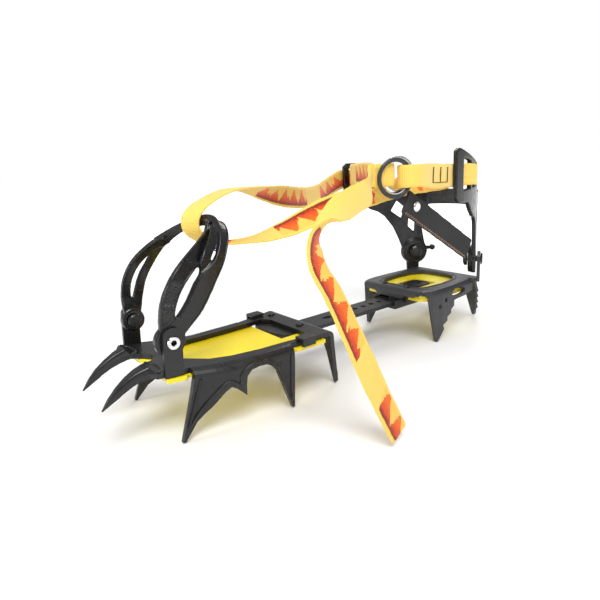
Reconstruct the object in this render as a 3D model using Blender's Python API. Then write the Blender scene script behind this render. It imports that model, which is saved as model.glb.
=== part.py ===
"""Strap-on mountaineering crampon, one of a pair, for the left boot.

Lengths below are in millimetres. X runs from heel to toe, +Y is the outer side with the buckle rings,
Z is up, and the ground that the tooth tips stand on is z = 0.
"""

import math

import bmesh
import bpy
from mathutils import Matrix, Vector

MM = 0.001
# The frame's origin: the middle of the footprint, on the ground, in the coordinates used below
FOOTPRINT_MIDDLE = Vector((-55.6, 0.9, 0.0))
GAP = 0.3  # clearance between pieces that touch

# Stamped steel
SHEET = 3.0
FRONT_TOP = 40.0
HEEL_TOP = 42.0
BEND = 5.0  # outside radius of the folds

# Toe bail and its posts and rivets
TOE_PIVOT = Vector((73.5, 0.0, 58.0))
TOE_POST_OUT = 33.0
POST_WIDTH = 11.0
POST_THICK = 2.4

# Linking bar
BAR_TOP = 32.3
BAR_THICK = 3.0
BAR_HALF = 10.5
BAR_PIVOT = Vector((-25.0, 0.0, BAR_TOP - 4.0))
BAR_END = -178.0
HOLE_PITCH = 9.0

# Heel section and harness
HEEL_PIVOT = Vector((-201.0, 0.0, 58.3))
HARNESS_THICK = 3.2
BOSS_RADIUS = 12.0
LEVER_PIVOT = Vector((-147.0, 0.0, 37.6))

# Webbing
STRAP = 16.0
WEB = 1.5


# ---------------------------------------------------------------- scene and materials


def clear_scene():
    for obj in list(bpy.data.objects):
        bpy.data.objects.remove(obj, do_unlink=True)


def material(name, colour, roughness, metallic=0.0):
    mat = bpy.data.materials.new(name)
    mat.use_nodes = True
    shader = mat.node_tree.nodes["Principled BSDF"]
    shader.inputs["Base Color"].default_value = (*colour, 1.0)
    shader.inputs["Roughness"].default_value = roughness
    shader.inputs["Metallic"].default_value = metallic
    mat.diffuse_color = (*colour, 1.0)
    return mat


def add(name, bm, mat, origin=(0.0, 0.0, 0.0), smooth_deg=35.0):
    """Turns a bmesh in millimetres into a scene object, with its own origin at the point given."""
    origin = Vector(origin)
    bmesh.ops.remove_doubles(bm, verts=bm.verts, dist=1e-4)
    bmesh.ops.recalc_face_normals(bm, faces=bm.faces)
    bmesh.ops.translate(bm, verts=bm.verts, vec=-origin)
    bmesh.ops.scale(bm, verts=bm.verts, vec=(MM, MM, MM))
    mesh = bpy.data.meshes.new(name)
    bm.to_mesh(mesh)
    bm.free()
    mesh.materials.append(mat)
    mesh.shade_smooth()
    mesh.set_sharp_from_angle(angle=math.radians(smooth_deg))
    obj = bpy.data.objects.new(name, mesh)
    obj.location = (origin - FOOTPRINT_MIDDLE) * MM
    bpy.context.scene.collection.objects.link(obj)
    return obj


def combine(obj, other, operation):
    """Joins another solid to the object, or cuts it away, and hides that helper."""
    other.hide_render = True
    other.display_type = "WIRE"
    modifier = obj.modifiers.new(operation.title(), "BOOLEAN")
    modifier.operation = operation
    modifier.object = other


# ---------------------------------------------------------------- shapes


def mirrored(points):
    """Points of one half, then the same points on the other side of y = 0 in reverse."""
    return list(points) + [(x, -y) for x, y in reversed(points)]


def arc(cx, cy, rx, ry, start, end, steps):
    """Points along an ellipse arc, with its angles in degrees."""
    angles = [math.radians(start + (end - start) * i / steps) for i in range(steps + 1)]
    return [(cx + rx * math.cos(a), cy + ry * math.sin(a)) for a in angles]


def oval(cx, cy, rx, ry, steps=12):
    return arc(cx, cy, rx, ry, 0.0, 360.0 * (steps - 1) / steps, steps - 1)


def filled(outline, holes=()):
    """Flat faces inside the outline and outside its holes."""
    bm = bmesh.new()
    for loop in (outline, *holes):
        verts = [bm.verts.new((x, y, 0.0)) for x, y in loop]
        for a, b in zip(verts, verts[1:] + verts[:1]):
            bm.edges.new((a, b))
    bmesh.ops.triangle_fill(bm, use_beauty=True, edges=bm.edges[:])
    return bm


def cut_along(bm, axis, values):
    """Adds an edge line across flat faces at each value of that axis, so that they can bend there."""
    normal = Vector((axis == 0, axis == 1, axis == 2))
    for value in values:
        geometry = bm.verts[:] + bm.edges[:] + bm.faces[:]
        bmesh.ops.bisect_plane(bm, geom=geometry, plane_co=normal * value, plane_no=normal)


def extrude(bm, depth):
    """Gives flat faces a thickness along +Z."""
    top = bmesh.ops.extrude_face_region(bm, geom=bm.faces[:])["geom"]
    verts = [item for item in top if isinstance(item, bmesh.types.BMVert)]
    bmesh.ops.translate(bm, verts=verts, vec=(0.0, 0.0, depth))
    return bm


def transform(bm, matrix):
    bmesh.ops.transform(bm, verts=bm.verts, matrix=matrix)
    return bm


def prism(outline, depth, place, holes=()):
    return transform(extrude(filled(outline, holes), depth), place)


def across_y(y=0.0):
    """Drawing plane of x and z, seen from -Y, with its thickness toward +Y."""
    return Matrix(((1, 0, 0, 0), (0, 0, 1, y), (0, 1, 0, 0), (0, 0, 0, 1)))


def at_height(z):
    return Matrix.Translation((0.0, 0.0, z))


def box(low, high):
    bm = bmesh.new()
    bmesh.ops.create_cube(bm, size=1.0)
    size = Vector(high) - Vector(low)
    bmesh.ops.scale(bm, verts=bm.verts, vec=size)
    bmesh.ops.translate(bm, verts=bm.verts, vec=(Vector(high) + Vector(low)) / 2)
    return bm


def loft(rings, capped=True):
    """A skin over rings that have the same number of points."""
    bm = bmesh.new()
    rows = [[bm.verts.new(point) for point in ring] for ring in rings]
    pairs = list(zip(rows, rows[1:])) if capped else list(zip(rows, rows[1:] + rows[:1]))
    count = len(rows[0])
    for low, high in pairs:
        for i in range(count):
            j = (i + 1) % count
            bm.faces.new((low[i], low[j], high[j], high[i]))
    if capped:
        bm.faces.new(rows[0][::-1])
        bm.faces.new(rows[-1])
    return bm


def turned(profile, centre, axis, segments=20, hollow=False):
    """A body of revolution: the profile gives (radius, distance along the axis)."""
    turn = Vector((0.0, 0.0, 1.0)).rotation_difference(Vector(axis)).to_matrix()
    rings = []
    for radius, along in profile:
        ring = []
        for i in range(segments):
            angle = 2 * math.pi * i / segments
            point = Vector((radius * math.cos(angle), radius * math.sin(angle), along))
            ring.append(Vector(centre) + turn @ point)
        rings.append(ring)
    return loft(rings, capped=not hollow)


def hoop(radius, width, thick, centre, axis, segments=28, sides=8):
    """A ring with an oval section: its mean radius, and the section's width and thickness."""
    section = oval(radius, 0.0, width / 2, thick / 2, sides)
    return turned(section, centre, axis, segments, hollow=True)


def between(rows, t):
    """A smooth curve through rows of numbers, at t from 0 to the last row."""
    last = len(rows) - 1
    i = min(int(t), last - 1)
    f = t - i
    p1, p2 = rows[i], rows[i + 1]
    p0 = rows[i - 1] if i else [2 * a - b for a, b in zip(p1, p2)]
    p3 = rows[i + 2] if i + 2 <= last else [2 * b - a for a, b in zip(p1, p2)]
    out = []
    for a, b, c, d in zip(p0, p1, p2, p3):
        bend = (2 * a - 5 * b + 4 * c - d) * f * f + (3 * b - a - 3 * c + d) * f**3
        out.append(0.5 * (2 * b + (c - a) * f + bend))
    return out


def curve(rows, steps):
    """Rows read from the smooth curve, with that many steps from each given row to the next."""
    count = (len(rows) - 1) * steps
    return [between(rows, i / steps) for i in range(count + 1)]


def interpolate(table, x):
    """The value at x of a table of (x, value), straight between its rows."""
    rows = sorted(table)
    if x <= rows[0][0]:
        return rows[0][1]
    for (x0, v0), (x1, v1) in zip(rows, rows[1:]):
        if x <= x1:
            return v0 + (v1 - v0) * (x - x0) / (x1 - x0)
    return rows[-1][1]


def band(rows, thick, steps=4, first=0.0, last=1.0):
    """A flat strip. Each row holds the centre, the direction across the strip, and its width.

    first and last choose the part of its length that is made."""
    count = (len(rows) - 1) * steps
    start, end = first * (len(rows) - 1), last * (len(rows) - 1)
    number = max(2, round(count * (last - first)))
    stations = [start + (end - start) * i / number for i in range(number + 1)]
    rings = []
    for t in stations:
        x, y, z, ax, ay, az, width = between(rows, t)
        low, high = max(0.0, t - 0.05), min(len(rows) - 1.0, t + 0.05)
        ahead = Vector(between(rows, high)[:3]) - Vector(between(rows, low)[:3])
        ahead.normalize()
        side = Vector((ax, ay, az))
        side = (side - ahead * side.dot(ahead)).normalized()
        up = ahead.cross(side)
        centre = Vector((x, y, z))
        half, rise = side * width / 2, up * thick / 2
        rings.append([centre - half - rise, centre + half - rise, centre + half + rise, centre - half + rise])
    return loft(rings)


# ---------------------------------------------------------------- stamped sheet


class Stamping:
    """A flat pattern folded down at its sides, its front and its rear.

    A pattern point is (x, v). From v = 0 to 1 it lies on the deck, at y = v times the deck's edge, and
    beyond 1 it is on the side wall, WALL millimetres along the sheet for each unit of v."""

    WALL = 40.0

    def __init__(self, top, outer, inner, folds, rake, claw=None, splay=0.0, rise=0.0):
        """folds are the x of the rear and front folds, and rise lifts the deck at the front fold."""
        self.top, self.outer, self.inner = top, outer, inner
        self.rear_fold, self.front_fold = folds
        self.rake, self.claw, self.splay, self.rise = rake, claw, splay, rise

    def height(self, x):
        """Height of the deck, which curves up over the last part toward the front fold."""
        share = (x - self.front_fold) / 40.0 + 1
        return self.top + self.rise * min(max(share, 0.0), 1.0) ** 2

    def edge(self, x, side):
        return interpolate(self.outer if side > 0 else self.inner, x)

    def deck(self, x, y):
        """Pattern point of a place on the deck."""
        return x, y / self.edge(x, 1 if y >= 0 else -1)

    def wall(self, x, depth, side):
        """Pattern point on a side wall, at a depth below the top of the sheet."""
        along = depth + BEND * (math.pi / 2 - 1) if depth >= BEND else depth * math.pi / 2
        return x, side * (1 + along / self.WALL)

    def side_fold(self, x, v):
        side = 1 if v > 0 else -1
        along = (abs(v) - 1) * self.WALL
        if along <= 0:
            return abs(v) * self.edge(x, side) * side, 0.0
        turn = min(along / BEND, math.pi / 2)
        down = BEND * (1 - math.cos(turn)) + max(0.0, along - BEND * math.pi / 2)
        out = BEND * math.sin(turn) + self.splay * max(0.0, down - BEND)
        return side * (self.edge(x, side) + out), down

    def end_fold(self, along, rake):
        """Distance out and down of a point past a straight fold."""
        most = math.radians(90 - rake)
        turn = min(along / BEND, most)
        rest = max(0.0, along - BEND * most)
        out = BEND * math.sin(turn) + rest * math.cos(most)
        down = BEND * (1 - math.cos(turn)) + rest * math.sin(most)
        return out, down

    def claw_fold(self, along):
        """A claw that curves down evenly from its root: (start angle, end angle, length)."""
        start, end, length = self.claw
        out = down = 0.0
        steps = 12
        for i in range(steps):
            angle = math.radians(start + (end - start) * (i + 0.5) / steps * along / length)
            out += along / steps * math.cos(angle)
            down += along / steps * math.sin(angle)
        return out, down

    def place(self, point):
        x, v, _ = point
        flat_x = min(max(x, self.rear_fold), self.front_fold)
        if x > self.front_fold or x < self.rear_fold:
            y = v * self.edge(flat_x, 1 if v > 0 else -1)
            if x > self.front_fold:
                fold = self.claw_fold if self.claw else lambda s: self.end_fold(s, 0.0)
                out, down = fold(x - self.front_fold)
                return Vector((self.front_fold + out, y, self.height(flat_x) - down))
            out, down = self.end_fold(self.rear_fold - x, self.rake)
            return Vector((self.rear_fold - out, y, self.top - down))
        y, down = self.side_fold(x, v)
        return Vector((x, y, self.height(x) - down))

    def solid(self, outline, holes, spacing):
        """The folded sheet as a closed solid, cut finely enough to bend smoothly."""
        bm = filled(outline, holes)
        xs = [p[0] for p in outline]
        low, high = min(xs), max(xs)
        lines = [low + spacing * i for i in range(1, int((high - low) / spacing) + 1)]
        bends = [i * BEND * math.pi / 8 for i in range(5)]
        lines += [self.rear_fold - s for s in bends] + [self.front_fold + s for s in bends]
        cut_along(bm, 0, [x for x in lines if low < x < high])
        for side in (-1, 1):
            cut_along(bm, 1, [side * (1 + s / self.WALL) for s in bends])
        for vert in bm.verts:
            vert.co = self.place(vert.co)
        bmesh.ops.recalc_face_normals(bm, faces=bm.faces)
        top_face = max(bm.faces, key=lambda face: face.calc_center_median().z)
        if top_face.normal.z < 0:
            bmesh.ops.reverse_faces(bm, faces=bm.faces)
        return bm


def thickened(obj):
    """The sheet's thickness, inside its modelled outer face."""
    modifier = obj.modifiers.new("Sheet", "SOLIDIFY")
    modifier.thickness = SHEET * MM
    modifier.offset = -1.0
    modifier.use_even_offset = True
    return modifier


# ---------------------------------------------------------------- front section

FRONT_OUTER = ((84, 32), (72, 32), (65, 31.5), (52, 36), (38, 39), (20, 41), (4, 41.3), (-4, 42), (-15, 42.5), (-30, 42))
FRONT_INNER = ((84, 33), (72, 32), (64, 28.5), (54, 23.5), (38, 20), (4, 20), (-8, 22), (-30, 26))
CLAW = (8.0, 54.0, 34.0)  # angle at the root and at the tip in degrees, and length
FRONT = Stamping(FRONT_TOP, FRONT_OUTER, FRONT_INNER, (-28.5, 84.0), 8.0, CLAW, splay=0.02, rise=2.5)
BRACKET_RIVET_X = -24.0
BRACKET_RIVET_Y = 17.0


def side_teeth(sheet, side):
    """Big tooth, barb, arch and third tooth along one wall, as (x, depth) from front to rear."""
    tip = FRONT_TOP - 0.7
    profile = [(65.5, 0.0), (65, 4.0), (68, 14), (77.2, tip + 2), (75.8, tip + 2), (67, 31), (58, 24)]
    profile += [(50, 16.5), (46, 14.2), (43, 16), (37.5, 21.5), (37, 15), (36, 10)]
    profile += [(33, 7), (28, 6), (23, 6.2), (19, 8.5), (16, 12.5)]
    profile += [(7.2, tip), (5.8, tip), (4.5, 26), (3, 9), (2.5, 0.0)]
    return [sheet.wall(x, depth, side) for x, depth in profile]


def rear_leg(sheet, side, top_out, top_in, tip_y):
    """A tapered leg folded down from the rear edge, as pattern points from the side edge inward."""
    fold = sheet.rear_fold
    places = [(fold, top_out), (fold - 14, top_out - 1.5), (fold - 42.2, tip_y + 0.7), (fold - 42.2, tip_y - 0.7)]
    places += [(fold - 20, top_in + 3.5), (fold - 6, top_in)]
    return [(x, side * y / sheet.edge(fold, side)) for x, y in places]


def front_pattern():
    sheet = FRONT
    claw = [(74, 3), (77, 7), (84, 10), (90, 11), (104, 14.5), (118, 17.2), (118, 18.2), (106, 21), (94, 23.5)]
    claw += [(87, 26.5), (84, 31.5)]
    pattern = [sheet.deck(x, y) for x, y in claw]
    pattern += side_teeth(sheet, 1)
    pattern += rear_leg(sheet, 1, 42, 31, 37.5)
    pattern += rear_leg(sheet, -1, 26, 17, 27)[::-1]
    pattern += side_teeth(sheet, -1)[::-1]
    pattern += [sheet.deck(x, -y) for x, y in reversed(claw)]
    window = [(64, 4), (62, 15), (50, 26.5), (38, 31.5), (20, 35), (-4, 37), (-14, 36), (-17, 31), (-17, -8)]
    window += [(-13, -14), (10, -13.5), (42, -14), (55, -13), (63, -7)]
    round_holes = [oval(68.5, -5, 1.6, 1.6, 8)]
    for y in (-BRACKET_RIVET_Y, BRACKET_RIVET_Y):
        round_holes.append(oval(BRACKET_RIVET_X, y, 1.9, 1.9, 10))
    holes = [[sheet.deck(x, y) for x, y in loop] for loop in (window, *round_holes)]
    return pattern, holes


def toe_post(side):
    """An upright tab with a hole for the bail's rivet."""
    x, z = TOE_PIVOT.x, TOE_PIVOT.z
    half = POST_WIDTH / 2
    foot = FRONT.height(x) - SHEET + 0.4
    outline = [(x - half + 1.5, foot), (x + half + 1.5, foot)] + arc(x, z + 3, half, half, 0, 180, 8)
    y = TOE_POST_OUT - POST_THICK if side > 0 else -TOE_POST_OUT
    return prism(outline, POST_THICK, across_y(y), [oval(x, z, 2.7, 2.7, 12)])


def claw_underside(along, off):
    """A place in the plane of x and z, at a depth below the top of the claws."""
    out, down = FRONT.claw_fold(along)
    start, end, length = CLAW
    angle = math.radians(start + (end - start) * along / length)
    x, z = FRONT.front_fold + out, FRONT.height(FRONT.front_fold) - down
    return x - off * math.sin(angle), z - off * math.cos(angle)


def claw_sharpening():
    """What is ground away under the last part of both claws, so that they end in a point."""
    start, tip = Vector(claw_underside(17.0, SHEET + 0.25)), Vector(claw_underside(33.9, 0.5))
    beyond = tip + (tip - start).normalized() * 4
    outline = [tuple(start), tuple(beyond), (beyond.x, beyond.y - 12), (start.x, start.y - 16)]
    return prism(outline, 70.0, across_y(-35.0))


def make_front_frame(steel):
    pattern, holes = front_pattern()
    frame = add("front_frame", FRONT.solid(pattern, holes, 7.0), steel)
    thickened(frame)
    for side, name in ((1, "outer"), (-1, "inner")):
        combine(frame, add(f"toe_post_{name}_tab", toe_post(side), steel), "UNION")
    combine(frame, add("claw_grinder", claw_sharpening(), steel), "DIFFERENCE")


def under_deck(sheet, outline, holes, thick, drop=GAP + 0.1):
    """A plate that follows the deck's underside."""
    bm = filled(outline, holes)
    xs = [x for x, _ in outline]
    cut_along(bm, 0, [x for x in range(-200, 90, 8) if min(xs) < x < max(xs)])
    extrude(bm, -thick)
    for vert in bm.verts:
        vert.co.z += sheet.height(vert.co.x) - SHEET - drop
    return bm


def make_front_plate(yellow):
    """Flexible plate that keeps snow from balling, with a notch for the bar's bracket."""
    lip = 2.2
    inside = 0.2
    outer = []
    for x in (-24, -16, -8, -1, 1.5, 8, 14, 20, 26, 32, 38, 44, 50, 56, 62, 66.3, 68.5, 74, 80):
        free = x < 0 or x > 67
        outer.append((x, FRONT.edge(x, 1) + (lip if free else inside)))
    inner = [(x, -FRONT.edge(x, -1) - (lip if x < 0 or x > 67 else inside)) for x, _ in reversed(outer)]
    front = [(80, 9), (73, 0), (80, -9)]
    notch = [(-24, -22), (-5, -22), (-5, 22), (-24, 22)]
    outline = outer + front + inner + notch
    add("front_antiball_plate", under_deck(FRONT, outline, [], 2.6), yellow)


def make_bracket(black, steel):
    """The bracket riveted under the rear strip of the deck, which holds the bar's pivot pin."""
    top = FRONT_TOP - SHEET - GAP
    floor = top - 2.8
    outline = [(-28.2, -20), (-28.2, 20)] + arc(-13, 0, 7, 20, 90, -90, 10)
    rivet_holes = [oval(BRACKET_RIVET_X, y, 1.9, 1.9, 10) for y in (-BRACKET_RIVET_Y, BRACKET_RIVET_Y)]
    bracket = add("bar_bracket", prism(outline, 2.8, at_height(floor), rivet_holes), black)
    for side, name in ((1, "outer"), (-1, "inner")):
        ear = [(BAR_PIVOT.x - 5, floor + 0.4), (BAR_PIVOT.x - 4, BAR_PIVOT.z - 2)]
        ear += arc(BAR_PIVOT.x, BAR_PIVOT.z, 4.5, 4.5, 200, 340, 6)
        ear += [(BAR_PIVOT.x + 4, BAR_PIVOT.z - 2), (BAR_PIVOT.x + 5, floor + 0.4)]
        y = 11.3 if side > 0 else -13.8
        hole = oval(BAR_PIVOT.x, BAR_PIVOT.z, 2.3, 2.3, 12)
        combine(bracket, add(f"bracket_ear_{name}", prism(ear, 2.5, across_y(y), [hole]), black), "UNION")
    pin = turned([(2, -13.6), (2, 13.6)], BAR_PIVOT, (0, 1, 0), 16)
    add("bar_pivot_pin", pin, steel, BAR_PIVOT)
    for side, name in ((1, "outer"), (-1, "inner")):
        foot = Vector((BRACKET_RIVET_X, side * BRACKET_RIVET_Y, 0))
        heads = [(2.8, floor - 1.5), (2.8, floor - GAP), (1.6, floor - GAP), (1.6, FRONT_TOP + GAP)]
        heads += [(2.9, FRONT_TOP + GAP), (2.2, FRONT_TOP + 1.4)]
        add(f"bracket_rivet_{name}", turned(heads, foot, (0, 0, 1), 14), steel)


def make_edge_clips(black):
    """Moulded clips that hook the plate to the rim of the deck, one on each side."""
    for side, x, name in ((1, -9.0, "outer"), (-1, -14.0, "inner")):
        edge = FRONT.edge(x, side)
        out, top, low = edge + 4.6, FRONT_TOP + 2.2, FRONT_TOP - SHEET - 0.1
        inner = edge - 4.0
        shape = [(inner, FRONT_TOP + GAP), (inner, top), (out, top), (out, low), (edge + 2.6, low), (edge + 2.6, FRONT_TOP + GAP)]
        turn = Matrix(((0, 0, 1, x - 5), (side, 0, 0, 0), (0, 1, 0, 0), (0, 0, 0, 1)))
        add(f"edge_clip_{name}", prism(shape, 10.0, turn), black)


# ---------------------------------------------------------------- toe bail

BAIL_FRONT_ARM = [
    (74, 28, 61, 1, 0, 0, 9), (74, 28.3, 68, 1, 0, 0, 9), (73.4, 30, 76, 1, 0, 0.1, 9), (70.5, 31, 84, 1, 0, 0.2, 9),
    (66, 31, 90.6, 1, 0, 0.35, 9), (59, 29, 96.6, 1, 0, 0.45, 9), (49.3, 24, 102, 1, 0, 0.45, 9),
    (42, 18.5, 105.5, 1, 0, 0.6, 8.5), (35, 14, 110, 1, 0, 0.8, 8), (31.5, 12, 116, 1, 0, 0.6, 8),
]
BAIL_OUTER_RIB = [
    (72.4, 28.3, 60.4, 1, 0, 0.3, 11), (64.5, 29.5, 67.5, 1, 0, 0.5, 10.5), (58, 31.5, 75.5, 1, 0, 0.5, 11.5),
    (50.5, 32.5, 87, 1, 0, 0.4, 11.5), (42, 32.5, 96, 1, 0, 0.4, 6.5), (36.5, 30, 104, 1, 0, 0.3, 5.5),
    (32.5, 25, 111, 1, 0, 0.3, 6), (30.5, 17, 116.5, 0.8, 0, 0.6, 6.5), (31.5, 6, 117.5, 0.6, 0, 0.8, 6.5),
    (36, -4, 115.8, 0.4, 0, 0.9, 5.5), (42.5, -13, 112, 0.4, 0, 0.9, 5.5), (52, -23.5, 104, 0.8, 0, 0.5, 8),
]
BAIL_INNER_RIB = [
    (52, 32.3, 85, 1, 0, 0.5, 7), (50.5, 32, 92, 1, 0, 0.4, 5.5), (47.5, 30.5, 100, 1, 0, 0.3, 5.5),
    (42, 27, 105.6, 1, 0, 0.2, 5), (36.5, 21.5, 110.5, 1, 0, 0.1, 5), (32, 16, 114.5, 1, 0, 0.1, 5),
]
BAIL_FAR_RIBS = (
    [(50, -21, 106, 1, 0, 0.5, 5.5), (56, -26.5, 101.5, 1, 0, 0.6, 5.5), (65, -31.5, 93, 1, 0, 0.4, 5.5),
     (71.5, -32.5, 83, 1, 0, 0.3, 5.5), (74.5, -31, 73, 1, 0, 0, 6), (75, -28, 66, 1, 0, 0, 7),
     (74, -27.8, 60, 1, 0, 0, 8)],
    [(47.5, -19, 106.5, 1, 0, 0.5, 6), (50.5, -25, 102.5, 1, 0, 0.5, 6), (55.5, -30.5, 93, 1, 0, 0.4, 5),
     (61.5, -33, 83, 1, 0, 0.3, 5.5), (66.5, -31, 73, 1, 0, 0, 6), (70, -28.2, 66, 1, 0, 0, 7),
     (72.6, -28, 60.5, 1, 0, 0, 8)],
)
BAIL_THICK = (3.4, 3.2, 3.0, 3.3, 3.1)  # of each band


def make_toe_bail(plastic):
    """A moulded loop: wide arms on the outer side, a slotted band on the inner side, and a bridge on top."""
    hole = 2.9
    centre = (TOE_PIVOT.x, 0, TOE_PIVOT.z)
    near = [(hole, 25.7), (9, 25.7), (9, 30.3), (hole, 30.3)]
    far = [(hole, 25.2), (7.2, 25.2), (7.2, 30.3), (hole, 30.3)]
    bail = add("toe_bail", turned(near, centre, (0, 1, 0), 24, True), plastic, TOE_PIVOT)
    far_boss = turned(far, centre, (0, -1, 0), 20, True)
    bands = [BAIL_FRONT_ARM, BAIL_OUTER_RIB, BAIL_INNER_RIB, *BAIL_FAR_RIBS]
    for number, rows in enumerate(bands):
        combine(bail, add(f"bail_band_{number}", band(rows, BAIL_THICK[number], 4), plastic), "UNION")
    combine(bail, add("bail_far_boss", far_boss, plastic), "UNION")
    drill = turned([(hole, -40), (hole, 40)], (TOE_PIVOT.x, 0, TOE_PIVOT.z), (0, 1, 0), 24)
    combine(bail, add("bail_drill", drill, plastic), "DIFFERENCE")


def make_toe_rivets(bright, black):
    """A tubular eyelet through each post and boss, closed by a cap on the inside."""
    for side, name in ((1, "outer"), (-1, "inner")):
        axis = (0, side, 0)
        centre = (TOE_PIVOT.x, 0, TOE_PIVOT.z)
        tube = [(1.6, 24.9), (2.4, 24.9), (2.4, TOE_POST_OUT + GAP), (3.9, TOE_POST_OUT + GAP)]
        tube += [(3.5, TOE_POST_OUT + 1.3), (1.6, TOE_POST_OUT + 1.0)]
        add(f"toe_eyelet_{name}", turned(tube, centre, axis, 20, True), bright, TOE_PIVOT)
        cap = [(3.6, 22.4), (4.4, 23.0), (4.4, 24.6)]
        add(f"toe_cap_{name}", turned(cap, centre, axis, 20), black, TOE_PIVOT)


# ---------------------------------------------------------------- linking bar


def make_bar(steel):
    length_end = BAR_END + BAR_HALF
    outline = [(BAR_PIVOT.x, -BAR_HALF), (BAR_PIVOT.x, BAR_HALF)]
    outline += arc(length_end, 0, BAR_HALF, BAR_HALF, 90, 270, 10)
    holes = [oval(-63, 0, 4.5, 2.3, 12)]
    holes += [oval(-92 - HOLE_PITCH * i, 0, 2.1, 2.1, 10) for i in range(10)]
    bar = add("linking_bar", prism(outline, BAR_THICK, at_height(BAR_TOP - BAR_THICK), holes), steel, BAR_PIVOT)
    eye = turned([(4, -BAR_HALF - 0.2), (4, BAR_HALF + 0.2)], BAR_PIVOT, (0, 1, 0), 20)
    combine(bar, add("bar_eye", eye, steel), "UNION")
    bore = turned([(2.3, -20), (2.3, 20)], BAR_PIVOT, (0, 1, 0), 16)
    combine(bar, add("bar_bore", bore, steel), "DIFFERENCE")


# ---------------------------------------------------------------- heel section

HEEL_EDGE = ((-136, 29.5), (-141, 32), (-152, 33.2), (-168, 33), (-188, 32), (-197, 31.5), (-200, 34.5), (-205, 34))
SCREW_X, SCREW_Y = -139.3, 12.0
HEEL = Stamping(HEEL_TOP, HEEL_EDGE, HEEL_EDGE, (-205.0, -136.0), 18.0, splay=0.05)
WING_ANGLE = 32.0  # turn of the harness wings and uprights away from the X axis, in plan
UPRIGHT_FOOT = Vector((-201.0, 32.5, 0.0))


def serrated(start, end, teeth, depth):
    """Zigzag between two places, with its points on the left of the way from start to end."""
    way = (Vector(end) - Vector(start)) / teeth
    out = Vector((-way.y, way.x)).normalized() * depth
    points = []
    for i in range(teeth):
        base = Vector(start) + way * i
        points += [tuple(base), tuple(base + way * 0.75 + out)]
    return points + [tuple(end)]


def heel_side(sheet, side):
    """Front heel tooth with its stepped edge, and the rail behind it, as pattern points."""
    tip = HEEL_TOP - 0.1
    profile = [(-138.2, 6.0), (-140.6, 23), (-143.6, tip), (-145, tip), (-149.3, 37), (-152.8, 33), (-151.6, 29.5)]
    profile += [(-157.5, 27), (-157.6, 23.8), (-162.5, 21.8), (-162.8, 18.8), (-166.8, 16.6), (-167.2, 12)]
    profile += [(-172, 11.5), (-184, 11.2), (-193, 9), (-196, 0)]
    return [sheet.wall(x, depth, side) for x, depth in profile]


def heel_pattern():
    sheet = HEEL
    fold, edge = sheet.rear_fold, sheet.edge(sheet.rear_fold, 1)
    front = [(-125.5, 0.01), (-125.5, 13), (-128.4, 16), (-128.2, 25), (-130.5, 28.5), (-135.0, 29.5)]
    half = [(x, y / sheet.edge(-136, 1)) for x, y in front][1:]
    half += heel_side(sheet, 1)
    half += [sheet.deck(x, y) for x, y in ((-198.5, 35), (-202, 36.5))]
    tooth = [(fold, 34.0), (fold - 5, 30), (fold - 11, 29.5)]
    tooth += serrated((fold - 14, 29.5), (fold - 38, 24.5), 4, -1.5)
    tooth += [(fold - 43.8, 23.0), (fold - 43.8, 20.5), (fold - 10, 17), (fold - 6, 14)]
    half += [(x, y / edge) for x, y in tooth]
    pattern = half + [(x, -v) for x, v in reversed(half)]
    window = mirrored([(-142.3, 14.5), (-146, 20), (-152, 23), (-168, 24.5), (-186, 22.5), (-195, 16), (-197, 6)])
    loops = [window]
    loops += [oval(SCREW_X, y, 1.8, 1.8, 10) for y in (-SCREW_Y, SCREW_Y)]
    holes = [[sheet.deck(x, y) for x, y in loop] for loop in loops]
    for side in (1, -1):
        for outline in (oval(-173.5, 6.2, 9.5, 2.8, 14), oval(-149, 13.8, 1.6, 2.0, 10), oval(-156.5, 9.8, 1.6, 2.0, 10)):
            holes.append([sheet.wall(x, d, side) for x, d in outline])
    return pattern, holes


def wing_frame(side):
    """Directions along and out of the harness wing at its boss."""
    turn = math.radians(WING_ANGLE)
    along = Vector((math.cos(turn), side * math.sin(turn), 0))
    out = Vector((-math.sin(turn), side * math.cos(turn), 0))
    return along, out


def boss_centre(side):
    return Vector((UPRIGHT_FOOT.x, side * UPRIGHT_FOOT.y, HEEL_PIVOT.z))


def upright(side):
    """A tab that stands on the rear corner of the deck, turned with the harness wing."""
    along, out = wing_frame(side)
    foot = HEEL_TOP - SHEET + 0.4 - HEEL_PIVOT.z
    outline = [(-5.5, foot), (5.5, foot)] + arc(0, 0, 6.5, 6.5, -10, 190, 12)
    place = Matrix.Translation(boss_centre(side) + out * 2.8)
    for row in range(3):
        place[row][0], place[row][1], place[row][2] = along[row], (0, 0, 1)[row], out[row]
    return prism(outline, 2.4, place, [oval(0, 0, 3.2, 3.2, 14)])


def make_heel_frame(steel):
    pattern, holes = heel_pattern()
    frame = add("heel_frame", HEEL.solid(pattern, holes, 7.0), steel)
    thickened(frame)
    for side, name in ((1, "outer"), (-1, "inner")):
        combine(frame, add(f"heel_upright_{name}", upright(side), steel), "UNION")


def make_heel_plate(yellow):
    """Thick moulded plate under the heel deck, with a slot for the adjuster."""
    half = [(-136.0, 24.0), (-137.0, 28.5)]
    half += [(x, HEEL.edge(x, 1) + 0.5) for x in (-141, -148, -156, -164, -172, -180, -188)]
    half += [(-196, 30.5), (-201.5, 24)]
    slot = [(-178, 11.5), (-153.5, 11.5), (-153.5, 16.5), (-136.0, 16.5)]
    outline = half + [(x, -y) for x, y in reversed(half)] + [(x, -y) for x, y in reversed(slot)] + slot
    add("heel_antiball_plate", under_deck(HEEL, outline, [], 5.5), yellow)


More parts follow.
